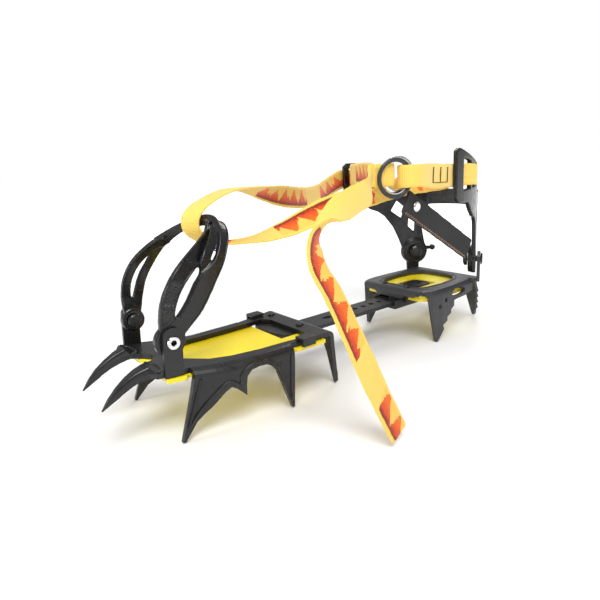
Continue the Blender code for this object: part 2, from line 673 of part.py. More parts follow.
def make_housing(black, steel):
    """A channel that the bar slides through, with two ears for the lever's rod."""
    floor = BAR_TOP - BAR_THICK - GAP
    half, wall = BAR_HALF + GAP, 1.5
    front, rear = -125.0, -166.0
    section = [(-half - wall, floor - 2.5), (half + wall, floor - 2.5), (half + wall, floor + 4.0), (half, floor + 4.0)]
    section += [(half, floor), (-half, floor), (-half, floor + 4.0), (-half - wall, floor + 4.0)]
    turn = Matrix(((0, 0, 1, rear), (1, 0, 0, 0), (0, 1, 0, 0), (0, 0, 0, 1)))
    housing = add("bar_housing", prism(section, front - rear, turn), black)
    top = HEEL_TOP - SHEET - GAP
    for side, name in ((1, "outer"), (-1, "inner")):
        low = half if side > 0 else -half - 3.2
        ear = box((-152.0, low, floor + 1.0), (-136.0, low + 3.2, top))
        combine(housing, add(f"housing_ear_{name}", ear, black), "UNION")
        centre = (SCREW_X, side * SCREW_Y, 0)
        drill = turned([(1.7, top - 5.2), (1.7, top + 5)], centre, (0, 0, 1), 14)
        combine(housing, add(f"screw_drill_{name}", drill, black), "DIFFERENCE")
        screw = [(1.3, top - 4.6), (1.3, HEEL_TOP + GAP), (2.5, HEEL_TOP + GAP), (2.0, HEEL_TOP + 1.3)]
        add(f"housing_screw_{name}", turned(screw, centre, (0, 0, 1), 14), steel)
    bore = turned([(1.9, -20), (1.9, 20)], LEVER_PIVOT, (0, 1, 0), 14)
    combine(housing, add("rod_bore", bore, black), "DIFFERENCE")
    rod = turned([(1.5, -13.6), (1.5, 13.6)], LEVER_PIVOT, (0, 1, 0), 14)
    add("lever_rod", rod, steel, LEVER_PIVOT)


def make_lever(black, steel):
    """The sprung lever, whose pin drops into one of the bar's holes."""
    low = 36.2
    outline = [(-148, 1), (-148, 9), (-172, 9), (-175, 6), (-175, -6), (-172, -9), (-151.5, -9), (-151.5, 1)]
    plate = prism(outline, 2.6, at_height(low), [oval(-169, 0, 2.2, 2.2, 12)])
    lever = add("adjuster_lever", plate, black, LEVER_PIVOT)
    knuckle = turned([(3.0, 1.3), (3.0, 8.7)], LEVER_PIVOT, (0, 1, 0), 18)
    combine(lever, add("lever_knuckle", knuckle, black), "UNION")
    bore = turned([(1.9, -20), (1.9, 20)], LEVER_PIVOT, (0, 1, 0), 14)
    combine(lever, add("lever_bore", bore, black), "DIFFERENCE")
    pin = turned([(1.2, BAR_TOP + GAP), (1.8, BAR_TOP + 0.9), (1.8, low - GAP)], (-164, 0, 0), (0, 0, 1), 14)
    add("lock_pin", pin, steel, LEVER_PIVOT)
    spring = turned([(1.9, -8.6), (3.0, -8.6), (3.0, 0.6), (1.9, 0.6)], LEVER_PIVOT, (0, 1, 0), 16, True)
    add("lever_spring", spring, steel, LEVER_PIVOT)


# ---------------------------------------------------------------- heel harness

# Plan of the harness's middle surface, from the back of the heel forward along the outer side
HARNESS_PLAN = [(-222, 0), (-220, 12), (-213, 24), (-201, 32.5), (-188, 40.6), (-175, 48.5), (-160, 55), (-145, 59.5), (-131, 61.5)]


def harness_table():
    """Rows of (length along the plan from the back of the heel, x, y)."""
    rows = [(0.0, *HARNESS_PLAN[0])]
    for x, y in curve([(p[0], p[1]) for p in HARNESS_PLAN], 6)[1:]:
        length, last_x, last_y = rows[-1]
        rows.append((length + math.hypot(x - last_x, y - last_y), x, y))
    return rows


def on_harness(table, t):
    """Place on the plan at a signed length from the back of the heel, and the outward direction there."""
    side = 1 if t >= 0 else -1
    xs = [(row[0], row[1]) for row in table]
    ys = [(row[0], row[2]) for row in table]
    here = Vector((interpolate(xs, abs(t)), side * interpolate(ys, abs(t)), 0))
    ahead = Vector((interpolate(xs, abs(t) + 1), side * interpolate(ys, abs(t) + 1), 0))
    way = (ahead - here).normalized()
    return here, Vector((-way.y * side, way.x * side, 0))


BOSS_T = 41.4
LOOP_FRONT = 116.0


def harness_half(side):
    """Outline of one wing of the harness and its holes, as (length along the plan, height)."""
    z = HEEL_PIVOT.z
    upper = [(30, 115), (50, 114.5), (62, 117), (69, 124), (72, 138), (112, 150), (LOOP_FRONT, 148)]
    front = [(LOOP_FRONT, 116), (112, 112), (96, 111)]
    windows = [[(76, 122), (88, 121), (88, 139), (78, 136)], [(92, 121), (106, 120.5), (106, 143), (92, 140)]]
    if side < 0:
        upper = [(30, 115), (50, 114.5), (62, 117), (69, 124), (73, 134), (79, 140.5), (105, 142), (109, 139)]
        front = [(108.5, 118), (105, 111), (96, 109.5)]
        windows = [[(76, 121), (87, 120), (87, 136), (79, 134)], [(91, 120), (103.5, 119.5), (103.5, 137.5), (91, 136.5)]]
    lower = [(89, 104), (82, 99.5), (75, 97), (69, 92.5), (61, 82), (55.5, 70)]
    lower += arc(BOSS_T, z, BOSS_RADIUS, BOSS_RADIUS, 20, -200, 16)
    lower += [(31.5, 68), (34, 82), (32, 94), (27, 101)]
    holes = [[(57.5, 106), (50.5, 100), (53, 89.5), (63, 97)], [(45.5, 97), (47, 82), (41, 76), (40, 92)]]
    holes += [*windows, oval(BOSS_T, z, 3.8, 3.8, 14)]
    return upper + front + lower, holes


def harness_pattern():
    outer, holes = harness_half(1)
    inner, inner_holes = harness_half(-1)
    outline = [(0.0, 114.0)] + outer + [(0.0, 101.0)] + [(-t, h) for t, h in reversed(inner)]
    return outline, holes + [[(-t, h) for t, h in hole] for hole in inner_holes]


def make_harness(plastic):
    """One moulded band around the heel, with a boss, a truss and a strap loop on each side."""
    outline, holes = harness_pattern()
    bm = filled(outline, holes)
    cut_along(bm, 0, [5.0 * i for i in range(-23, 24)])
    table = harness_table()
    for vert in bm.verts:
        place, _ = on_harness(table, vert.co.x)
        vert.co = Vector((place.x, place.y, vert.co.y))
    harness = add("heel_harness", bm, plastic, HEEL_PIVOT)
    modifier = harness.modifiers.new("Wall", "SOLIDIFY")
    modifier.thickness = HARNESS_THICK * MM
    modifier.offset = 0.0
    for side, name in ((1, "outer"), (-1, "inner")):
        _, out = wing_frame(side)
        disc = turned([(3.8, -4.0), (BOSS_RADIUS - 0.4, -4.0), (BOSS_RADIUS - 0.4, 1.2), (3.8, 1.2)], boss_centre(side), out, 28, True)
        combine(harness, add(f"harness_boss_{name}", disc, plastic), "UNION")


def make_heel_rivets(steel, black):
    """A rivet through each upright and boss, and a round cap on its inner end."""
    for side, name in ((1, "outer"), (-1, "inner")):
        _, out = wing_frame(side)
        rivet = [(2.6, -5.0), (2.6, 5.5), (5.2, 5.5), (4.2, 7.0)]
        add(f"heel_rivet_{name}", turned(rivet, boss_centre(side), out, 18), steel)
        cap = [(4.4, -8.4), (5.8, -7.6), (5.8, -5.3)]
        add(f"heel_cap_{name}", turned(cap, boss_centre(side), out, 20), black)


# ---------------------------------------------------------------- straps, rings and pull tab

STEEL_RING = Vector((-79.0, 57.0, 135.5))
BLACK_RING = Vector((-73.4, 60.3, 133.9))
RING_AXIS = Vector((0.3, 0.954, 0.0)).normalized()
RING_AHEAD = Vector((0.954, -0.3, 0.0)).normalized()
CROSSING = 14.0  # width of the webbing where it passes through the rings


def at_rings(ahead, out, z, width=CROSSING):
    """A row of webbing placed from the steel ring's centre, along and out of the ring's plane."""
    x, y, _ = STEEL_RING + RING_AHEAD * ahead + RING_AXIS * out
    return (x, y, z, 0, 0, 1, width)


# Rows of centre, direction across the webbing, and width
LOWER_STRAND = [
    (-140, 50.2, 129.5, 0, 0, 1, STRAP), (-115, 51, 129.5, 0, 0, 1, STRAP), (-90, 49, 127.0, 0, 0, 1, 13),
    (-67, 46, 122.6, 0, 0, 1, 11), (-43, 43, 121, 0, -0.3, 1, 14), (-24, 37, 115, 0, -0.75, 0.65, STRAP),
    (-9, 27, 108, 0, -0.95, 0.3, STRAP), (6, 14, 103, 0, -1, 0, STRAP), (20, 3, 102, 0.1, -1, 0, STRAP),
]
BAIL_TURN = [
    (32, 1, 105, 0.4, -0.9, 0, 14), (39.6, 0.5, 112.3, 0.45, -0.89, 0, 13), (38.2, 0.5, 121.5, 0.45, -0.89, 0, 13),
    (27, -0.5, 128.5, 0.3, -0.95, 0, 14.5),
]
UPPER_STRAND = [
    (9, -4, 133, 0, -1, 0, STRAP), (-8, -7, 132, 0, -1, -0.2, STRAP), (-29, -15, 127.5, 0, -0.8, -0.6, STRAP),
    (-52, -26, 122.5, 0, -0.4, -0.9, STRAP), (-78, -39, 119, 0, -0.1, -1, STRAP),
    (-104, -53, 119, 0, 0, -1, STRAP), (-126, -63.5, 123.5, 0, 0, -1, STRAP), (-142, -66.3, 128, 0, 0, -1, STRAP),
    (-151.5, -63, 128.3, 0, 0, -1, 15.5), (-151.5, -57, 128.3, 0, 0, -1, 15.5), (-143, -52, 130.5, 0, 0, -1, STRAP),
    (-134, -44, 133, 0, 0, -1, STRAP), (-118, -18, 134.5, 0, 0, -1, STRAP), (-98, 12, 135.3, 0, 0, -1, STRAP),
    (-78, 37, 136, 0, 0, -1, 14.5), (-67.5, 47.3, 136, 0, 0, -1, CROSSING),
]
# Through the steel ring, back over its front, and under the front of the black ring
RING_TURN = [(9.5, -2.5), (5.4, -2.1), (3.1, 0.1), (5.4, 2.4), (10.5, 2.3), (17, 2.2), (20.5, 2.6)]
TAIL = [
    (-51.3, 58.5, 128, 0.15, 0.15, -0.95, STRAP), (-36.5, 63, 124.9, 0.34, 0.38, -0.8, STRAP),
    (-21.5, 68, 121.8, 0.48, 0.54, -0.62, STRAP), (-10, 72, 118, 0.6, 0.67, -0.36, STRAP),
    (0.5, 76, 114.2, 0.7, 0.7, -0.05, STRAP), (9.8, 81, 107.6, 0.88, 0.5, 0.09, STRAP),
    (14.8, 88, 96.5, 0.97, 0.3, 0.1, STRAP), (11, 95, 81.6, 0.98, 0.2, 0.1, STRAP),
    (5.6, 106, 54.3, 1, 0.1, 0.15, STRAP), (-2.1, 112, 29.2, 1, 0.1, 0.2, STRAP), (-10.5, 118, 5, 1, 0.1, 0.2, STRAP),
]
LONG_STRAP = LOWER_STRAND + BAIL_TURN + UPPER_STRAND
LONG_STRAP += [(*at_rings(a, b, 136)[:3], 0, 0, -1, CROSSING) for a, b in RING_TURN] + TAIL
# Stretches of the long strap, each following its own pair of parts: name, first row, last row
STRETCHES = (
    ("strap_lower_4", 0, 2), ("strap_lower_3", 2, 4), ("strap_lower_2", 4, 6), ("strap_lower_1", 6, 8),
    ("strap_bail_turn", 8, 13), ("strap_upper_1", 13, 15), ("strap_upper_2", 15, 16),
    ("strap_upper_3", 16, 18), ("strap_upper_4", 18, 19), ("strap_inner_turn", 19, 24),
    ("strap_instep", 24, 32), ("strap_tail", 32, 46),
)


def make_straps(webbing):
    rows = LONG_STRAP
    seam = 0.008  # half of the gap between two stretches, in rows
    end = len(rows) - 1
    for name, first, last in STRETCHES:
        low = (first + seam * (first > 0)) / end
        high = (last - seam * (last < end)) / end
        add(name, band(rows, WEB, 3, low, high), webbing)
    anchor = [(-113, 56.4, 132, 15.5), (-134, 55.3, 131.5, 15.5), (-147, 53.2, 131, 15), (-158.5, 51.4, 130.3, 14)]
    anchor += [(-163.8, 53.6, 130.3, 14), (-163, 57.8, 130.3, 14), (-158, 59.6, 130.5, 14.5), (-152, 58.6, 131, 15)]
    anchor += [(-144.5, 57, 131.2, 15.5), (-134, 58.1, 131.5, 15.5), (-120, 61, 132, STRAP), (-104, 64.6, 133, STRAP)]
    anchor = [(x, y, z, 0, 0, 1, width) for x, y, z, width in anchor]
    hairpin = [(-13, 7.6), (-4, 7.5), (0.5, 2.5), (-4, -2.2), (-12, -2.8)]
    anchor += [at_rings(a, b, 134.6) for a, b in hairpin]
    add("anchor_strap", band(anchor, WEB, 3), webbing)


def make_rings(bright, black):
    add("steel_ring", hoop(10.5, 3.0, 1.8, STEEL_RING, RING_AXIS), bright, STEEL_RING)
    add("black_ring", hoop(11.3, 2.8, 2.2, BLACK_RING, RING_AXIS), black, BLACK_RING)


def make_tab(leather, bright):
    top, end = Vector((-82.0, 61.0, 118.8)), Vector((-153.5, 59.0, 76.5))
    rows = [(*top.lerp(end, share), 0.5, 0, 0.85, 15.5) for share in (0.0, 0.33, 0.67, 1.0)]
    add("pull_tab", band(rows, 1.8, 2), leather)
    rivet = turned([(3.4, 0.0), (3.4, 0.6), (2.4, 1.3)], (-91.5, 62.0, 114.5), (0, 1, 0), 14)
    add("tab_rivet", rivet, bright)


# ---------------------------------------------------------------- the whole crampon


def main():
    clear_scene()
    steel = material("black_steel", (0.02, 0.02, 0.022), 0.45, 0.6)
    bright = material("bright_steel", (0.75, 0.75, 0.77), 0.25, 1.0)
    plastic = material("black_plastic", (0.015, 0.015, 0.017), 0.4)
    yellow = material("yellow_plastic", (0.95, 0.78, 0.02), 0.45)
    webbing = material("yellow_webbing", (0.93, 0.55, 0.05), 0.85)
    leather = material("black_leather", (0.02, 0.02, 0.02), 0.8)
    make_front_frame(steel)
    make_front_plate(yellow)
    make_bracket(plastic, bright)
    make_edge_clips(plastic)
    make_toe_bail(plastic)
    make_toe_rivets(bright, plastic)
    make_bar(steel)
    make_heel_frame(steel)
    make_heel_plate(yellow)
    make_housing(plastic, bright)
    make_lever(steel, bright)
    make_harness(plastic)
    make_heel_rivets(steel, plastic)
    make_straps(webbing)
    make_rings(bright, plastic)
    make_tab(leather, bright)


main()
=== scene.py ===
"""Looks of a strap-on mountaineering crampon, one of a pair, for the left boot.

Places below are in the part's design millimetres: X from heel to toe, +Y the outer side with the
buckle rings, Z up from the ground. at() turns them into the row frame's metres.
"""

import math

import bmesh
import bpy
from mathutils import Matrix, Vector


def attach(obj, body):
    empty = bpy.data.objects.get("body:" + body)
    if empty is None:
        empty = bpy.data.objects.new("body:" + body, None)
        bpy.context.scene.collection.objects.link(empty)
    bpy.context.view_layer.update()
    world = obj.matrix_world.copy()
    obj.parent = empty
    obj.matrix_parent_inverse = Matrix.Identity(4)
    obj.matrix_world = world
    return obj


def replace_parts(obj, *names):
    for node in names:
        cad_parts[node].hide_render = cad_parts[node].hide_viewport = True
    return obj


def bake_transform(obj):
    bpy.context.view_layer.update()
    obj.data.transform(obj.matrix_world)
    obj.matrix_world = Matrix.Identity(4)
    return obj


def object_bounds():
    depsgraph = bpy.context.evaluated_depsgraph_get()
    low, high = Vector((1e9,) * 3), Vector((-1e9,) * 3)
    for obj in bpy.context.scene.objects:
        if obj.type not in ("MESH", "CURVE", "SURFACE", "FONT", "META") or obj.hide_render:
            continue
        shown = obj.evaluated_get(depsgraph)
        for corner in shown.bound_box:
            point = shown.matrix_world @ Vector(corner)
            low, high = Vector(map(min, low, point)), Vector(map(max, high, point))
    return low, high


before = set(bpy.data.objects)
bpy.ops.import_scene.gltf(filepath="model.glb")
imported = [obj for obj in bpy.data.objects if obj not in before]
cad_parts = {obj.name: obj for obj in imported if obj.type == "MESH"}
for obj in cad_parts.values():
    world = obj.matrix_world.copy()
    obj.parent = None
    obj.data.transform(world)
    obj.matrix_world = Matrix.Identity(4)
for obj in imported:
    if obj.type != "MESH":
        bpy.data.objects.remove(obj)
cad_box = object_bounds()

MM = 0.001
FOOTPRINT_MIDDLE = Vector((-55.6, 0.9, 0.0))  # design place of the row frame's origin


def at(x, y, z):
    """A place in design millimetres, in the row frame's metres."""
    return (Vector((x, y, z)) - FOOTPRINT_MIDDLE) * MM


# ---------------------------------------------------------------- camera, floor and light

CAMERA_PLACE = Vector((0.2306275, 0.2834997, 0.1516789))
CAMERA_ANGLES = (-126.8923, 15.7681, -3.5455)  # yaw, pitch and roll in degrees
SENSOR = 36.0
LENS = 30.83
AMBIENT = 0.42  # light from the backdrop, as a share of the brightness that it shows
FLOOR_RADIUS = 14.0
FLOOR_DROP = 0.0003  # gap between the lowest point and the floor
# Distances from the origin over which the floor starts to glow, to meet the backdrop, and how much
FLOOR_GLOW = (("From Min", 0.22), ("From Max", 0.75), ("To Max", 0.62))
LAMP_TARGET = (0.0, 0.0, 0.06)
# Name, place, size and power
LAMPS = (
    ("key", (0.35, 0.65, 1.25), 0.8, 15.0),
    ("side", (1.1, -0.35, 0.55), 0.5, 4.0),
    ("back", (-0.9, -0.55, 0.9), 0.6, 5.0),
)


def make_camera():
    yaw, pitch, roll = (math.radians(a) for a in CAMERA_ANGLES)
    level = Vector((math.cos(yaw), math.sin(yaw), 0.0))
    ahead = level * math.cos(pitch) - Vector((0.0, 0.0, math.sin(pitch)))
    right = Vector((math.sin(yaw), -math.cos(yaw), 0.0))
    up = right.cross(ahead)
    turned_right = math.cos(roll) * right + math.sin(roll) * up
    turned_up = math.cos(roll) * up - math.sin(roll) * right
    camera = bpy.data.objects.new("camera", bpy.data.cameras.new("camera"))
    camera.data.sensor_width = SENSOR
    camera.data.lens = LENS
    camera.data.clip_start = 0.01
    place = Matrix.Translation(CAMERA_PLACE)
    for row in range(3):
        place[row][0], place[row][1], place[row][2] = turned_right[row], turned_up[row], -ahead[row]
    camera.matrix_world = place
    bpy.context.scene.collection.objects.link(camera)
    bpy.context.scene.camera = camera


def lamp(name, place, size, power):
    light = bpy.data.lights.new(name, "AREA")
    light.shape = "DISK"
    light.size = size
    light.energy = power
    obj = bpy.data.objects.new(name, light)
    obj.location = place
    obj.rotation_mode = "QUATERNION"
    obj.rotation_quaternion = (Vector(LAMP_TARGET) - Vector(place)).to_track_quat("-Z", "Y")
    bpy.context.scene.collection.objects.link(obj)


def make_studio():
    """A white backdrop and floor, and three lamps.

    The backdrop lights the object less than it shows, so that dark forms keep their shade."""
    world = bpy.data.worlds.new("studio")
    world.use_nodes = True
    nodes, links = world.node_tree.nodes, world.node_tree.links
    path = nodes.new("ShaderNodeLightPath")
    strength = nodes.new("ShaderNodeMapRange")
    strength.inputs["To Min"].default_value = AMBIENT
    strength.inputs["To Max"].default_value = 1.0
    links.new(path.outputs["Is Camera Ray"], strength.inputs["Value"])
    links.new(strength.outputs["Result"], nodes["Background"].inputs["Strength"])
    nodes["Background"].inputs["Color"].default_value = (1.0, 1.0, 1.0, 1.0)
    bpy.context.scene.world = world
    bm = bmesh.new()
    bmesh.ops.create_circle(bm, cap_ends=True, segments=96, radius=FLOOR_RADIUS)
    mesh = bpy.data.meshes.new("floor")
    bm.to_mesh(mesh)
    bm.free()
    floor = bpy.data.objects.new("floor", mesh)
    floor.location.z = min(cad_box[0].z, 0.0) - FLOOR_DROP
    white = bpy.data.materials.new("floor_white")
    white.use_nodes = True
    shader = white.node_tree.nodes["Principled BSDF"]
    shader.inputs["Base Color"].default_value = (0.93, 0.93, 0.93, 1.0)
    shader.inputs["Roughness"].default_value = 0.9
    shader.inputs["Specular IOR Level"].default_value = 0.1
    shader.inputs["Emission Color"].default_value = (1.0, 1.0, 1.0, 1.0)
    nodes, links = white.node_tree.nodes, white.node_tree.links
    reach = nodes.new("ShaderNodeVectorMath")
    reach.operation = "LENGTH"
    links.new(nodes.new("ShaderNodeTexCoord").outputs["Object"], reach.inputs[0])
    glow = nodes.new("ShaderNodeMapRange")
    glow.interpolation_type = "SMOOTHSTEP"
    for socket, value in FLOOR_GLOW:
        glow.inputs[socket].default_value = value
    links.new(reach.outputs["Value"], glow.inputs["Value"])
    links.new(glow.outputs["Result"], shader.inputs["Emission Strength"])
    mesh.materials.append(white)
    bpy.context.scene.collection.objects.link(floor)
    for name, at_place, size, power in LAMPS:
        lamp(name, at_place, size, power)
    bpy.context.scene.view_settings.view_transform = "Standard"


# ---------------------------------------------------------------- materials


class Paint:
    """A node material around one Principled shader, with shorthand for its nodes."""

    def __init__(self, name, roughness, metallic=0.0, coat=0.0, specular=0.5):
        self.material = bpy.data.materials.new(name)
        self.material.use_nodes = True
        self.tree = self.material.node_tree
        self.shader = self.tree.nodes["Principled BSDF"]
        self.set("Roughness", roughness)
        self.set("Metallic", metallic)
        self.set("Coat Weight", coat)
        self.set("Coat Roughness", 0.2)
        self.set("Specular IOR Level", specular)
        self.place = self.node("ShaderNodeTexCoord").outputs["Object"]

    def set(self, socket, value):
        self.shader.inputs[socket].default_value = value

    def node(self, kind, inputs=None, **settings):
        node = self.tree.nodes.new(kind)
        for key, value in settings.items():
            setattr(node, key, value)
        for key, value in (inputs or {}).items():
            if isinstance(value, bpy.types.NodeSocket):
                self.tree.links.new(value, node.inputs[key])
            else:
                node.inputs[key].default_value = value
        return node

    def link(self, source, socket):
        self.tree.links.new(source, self.shader.inputs[socket])

    def noise(self, scale, detail=3.0, rough=0.55, stretch=None):
        vector = self.place
        if stretch:
            inputs = {"Vector": self.place, "Scale": stretch}
            vector = self.node("ShaderNodeMapping", inputs).outputs[0]
        inputs = {"Vector": vector, "Scale": scale, "Detail": detail, "Roughness": rough}
        return self.node("ShaderNodeTexNoise", inputs).outputs["Fac"]

    def maths(self, operation, a, b=0.0, c=0.0):
        return self.node("ShaderNodeMath", {0: a, 1: b, 2: c}, operation=operation).outputs[0]

    def spread(self, value, low, high, to_low=0.0, to_high=1.0, smooth=False):
        """The value's place between low and high, as a number between to_low and to_high."""
        inputs = {"Value": value, "From Min": low, "From Max": high}
        inputs.update({"To Min": to_low, "To Max": to_high})
        kind = "SMOOTHSTEP" if smooth else "LINEAR"
        return self.node("ShaderNodeMapRange", inputs, interpolation_type=kind).outputs["Result"]

    def mix(self, share, a, b):
        node = self.node("ShaderNodeMix", data_type="RGBA")
        for index, value in ((0, share), (6, a), (7, b)):
            if isinstance(value, bpy.types.NodeSocket):
                self.tree.links.new(value, node.inputs[index])
            else:
                value = (*value, 1.0) if isinstance(value, tuple) else value
                node.inputs[index].default_value = value
        return node.outputs[2]

    def bump(self, height, distance, strength=1.0, under=None):
        inputs = {"Height": height, "Distance": distance, "Strength": strength}
        if under:
            inputs["Normal"] = under
        return self.node("ShaderNodeBump", inputs).outputs["Normal"]

    def value(self, attribute):
        return self.node("ShaderNodeAttribute", attribute_name=attribute).outputs["Fac"]


def coated_steel(name, dark, light, roughness):
    """Baked black coating over stamped steel: a little cloudy, with a fine powder grain."""
    paint = Paint(name, roughness)
    cloud = paint.noise(38.0, 4.0)
    speck = paint.spread(paint.noise(1400.0, 2.0), 0.55, 0.75)
    colour = paint.mix(paint.spread(cloud, 0.3, 0.7), dark, light)
    lighter = tuple(c * 1.9 for c in light)
    speck = paint.maths("MULTIPLY", speck, 0.35)
    paint.link(paint.mix(speck, colour, lighter), "Base Color")
    patches = paint.noise(120.0)
    paint.link(paint.spread(patches, 0.25, 0.75, roughness - 0.07, roughness + 0.1), "Roughness")
    paint.link(paint.bump(paint.noise(900.0, 4.0), 0.00008, 0.55), "Normal")
    return paint.material


def moulded(name, dark, light, roughness):
    """Injection-moulded plastic with a faint grain and flow marks."""
    paint = Paint(name, roughness)
    flow = paint.noise(26.0, 3.0, 0.5, (1.0, 1.0, 0.35))
    paint.link(paint.mix(paint.spread(flow, 0.3, 0.7), dark, light), "Base Color")
    patches = paint.noise(260.0)
    paint.link(paint.spread(patches, 0.3, 0.7, roughness - 0.06, roughness + 0.1), "Roughness")
    paint.link(paint.bump(paint.noise(1500.0, 2.0), 0.00005, 0.5), "Normal")
    return paint.material


def bare_steel(name, colour, roughness):
    """Uncoated metal with fine brush marks and a few dull patches."""
    paint = Paint(name, roughness, metallic=1.0)
    marks = paint.noise(700.0, 3.0, 0.6, (1.0, 1.0, 14.0))
    dull = tuple(c * 0.78 for c in colour)
    patches = paint.spread(paint.noise(180.0), 0.35, 0.7)
    paint.link(paint.mix(patches, colour, dull), "Base Color")
    paint.link(paint.spread(marks, 0.3, 0.7, roughness - 0.05, roughness + 0.12), "Roughness")
    paint.link(paint.bump(marks, 0.00003, 0.4), "Normal")
    return paint.material


def soft_yellow(name):
    """Flexible yellow plastic with a gloss, slightly wavy as moulded."""
    paint = Paint(name, 0.32, coat=0.25)
    wave = paint.noise(42.0, 2.0, 0.4)
    colour = paint.mix(paint.spread(wave, 0.3, 0.7), (0.93, 0.72, 0.006), (1.0, 0.83, 0.02))
    dirt = paint.maths("MULTIPLY", paint.spread(paint.noise(330.0, 5.0), 0.62, 0.8), 0.12)
    paint.link(paint.mix(dirt, colour, (0.62, 0.42, 0.01)), "Base Color")
    paint.link(paint.spread(paint.noise(90.0), 0.3, 0.7, 0.25, 0.42), "Roughness")
    fine = paint.bump(paint.noise(1200.0, 2.0), 0.00003, 0.35)
    paint.link(paint.bump(wave, 0.0022, 0.5, fine), "Normal")
    return paint.material


RIB_PITCH = 0.00105  # of the webbing's ribs, in metres
YARNS = 3000.0  # twill slant along the webbing, in radians a metre
YARN_LEAN = 46.0  # and across half of its width
YELLOW_YARN = (0.96, 0.60, 0.075)
# pale end of the yarn colour: painted light on the rib tops, and a random paler tone
RIB_LIT_PALE_YARN = (1.0, 0.74, 0.20)
MARK_PITCH = 0.0142  # of the printed tongues along the webbing, in metres
SLANT = 0.27  # lean of the tongues, in tongues for half the webbing's width
RUN = 7.0  # tongues and gap in one repeat of the print
RUN_SHIFT = 2.3
RUN_SHARE = 0.74  # of a repeat that is printed
PRINT_TOP = 0.8  # limits across the webbing, as shares of its half width
PRINT_BASE = -0.78
INK_EDGE = 0.06
RED, ORANGE = (0.62, 0.022, 0.012), (0.94, 0.16, 0.012)
MAROON, RIM_RED = (0.20, 0.008, 0.012), (0.30, 0.012, 0.012)
RIB_TOP_HIGHLIGHT_ORANGE = (1.0, 0.32, 0.04)  # painted highlight on the ribs' tops in the print
STAINED_YELLOW = (0.88, 0.46, 0.055)  # of the ground behind the print


def flame_print(paint, ground, along, across, rib):
    """The ground with a run of flame tongues that lean along the webbing.

    Each tongue has a height of its own. They are orange to red with a dark base."""
    size = paint.maths("ABSOLUTE", across)
    lean = paint.maths("MULTIPLY", along, 1.0 / MARK_PITCH)
    lean = paint.maths("MULTIPLY_ADD", across, SLANT, lean)
    ragged = paint.maths("MULTIPLY_ADD", paint.noise(430.0, 3.0), 0.3, -0.15)
    lean = paint.maths("MULTIPLY_ADD", ragged, 0.8, lean)
    cell = paint.maths("FLOOR", lean)
    chance = paint.node("ShaderNodeTexWhiteNoise", {"W": cell}, noise_dimensions="1D")
    chance = chance.outputs["Value"]
    # Height of the tongue here, from its own peak and from smaller ones between
    within = paint.maths("MULTIPLY_ADD", paint.maths("FRACT", lean), 2.0, -0.8)
    tongue = paint.maths("SUBTRACT", 1.0, paint.maths("ABSOLUTE", within))
    reach = paint.maths("MULTIPLY", tongue, paint.maths("MULTIPLY_ADD", chance, 0.5, 1.05))
    small = paint.maths("PINGPONG", paint.maths("MULTIPLY_ADD", lean, 2.3, chance), 0.5)
    reach = paint.maths("MAXIMUM", reach, paint.maths("MULTIPLY_ADD", small, 1.1, 0.1))
    top = paint.maths("ADD", paint.maths("MULTIPLY_ADD", reach, 1.25, -0.62), ragged)
    top = paint.maths("MINIMUM", top, PRINT_TOP)
    base = paint.maths("MULTIPLY_ADD", ragged, 0.5, PRINT_BASE)
    over_base = paint.spread(paint.maths("SUBTRACT", across, base), 0.0, INK_EDGE)
    body = paint.spread(paint.maths("SUBTRACT", top, across), 0.0, INK_EDGE)
    body = paint.maths("MULTIPLY", body, over_base)
    # Only in the printed part of each repeat, and on the printed face
    repeat = paint.maths("FRACT", paint.maths("MULTIPLY_ADD", cell, 1.0 / RUN, RUN_SHIFT / RUN))
    face = paint.spread(paint.value("face"), 0.45, 0.55)
    shown = paint.maths("MULTIPLY", paint.maths("LESS_THAN", repeat, RUN_SHARE), face)
    body = paint.maths("MULTIPLY", body, shown)
    flame = paint.spread(paint.maths("MULTIPLY_ADD", ragged, 2.2, across), -0.5, 0.35)
    ink = paint.mix(flame, RED, ORANGE)
    under = paint.maths("MULTIPLY_ADD", ragged, 2.4, across)
    ink = paint.mix(paint.spread(under, -0.4, -0.62), ink, MAROON)
    rim = paint.spread(paint.maths("SUBTRACT", top, across), 0.16, 0.02)
    ink = paint.mix(paint.maths("MULTIPLY", rim, 0.5), ink, RIM_RED)
    # painted highlight: paler orange ink on the ribs' tops
    ink = paint.mix(paint.maths("MULTIPLY", rib, 0.16), ink, RIB_TOP_HIGHLIGHT_ORANGE)
    halo = paint.maths("MULTIPLY", shown, paint.spread(size, 0.84, 0.78))
    ground = paint.mix(paint.maths("MULTIPLY", halo, 0.4), ground, STAINED_YELLOW)
    return paint.mix(body, ground, ink)


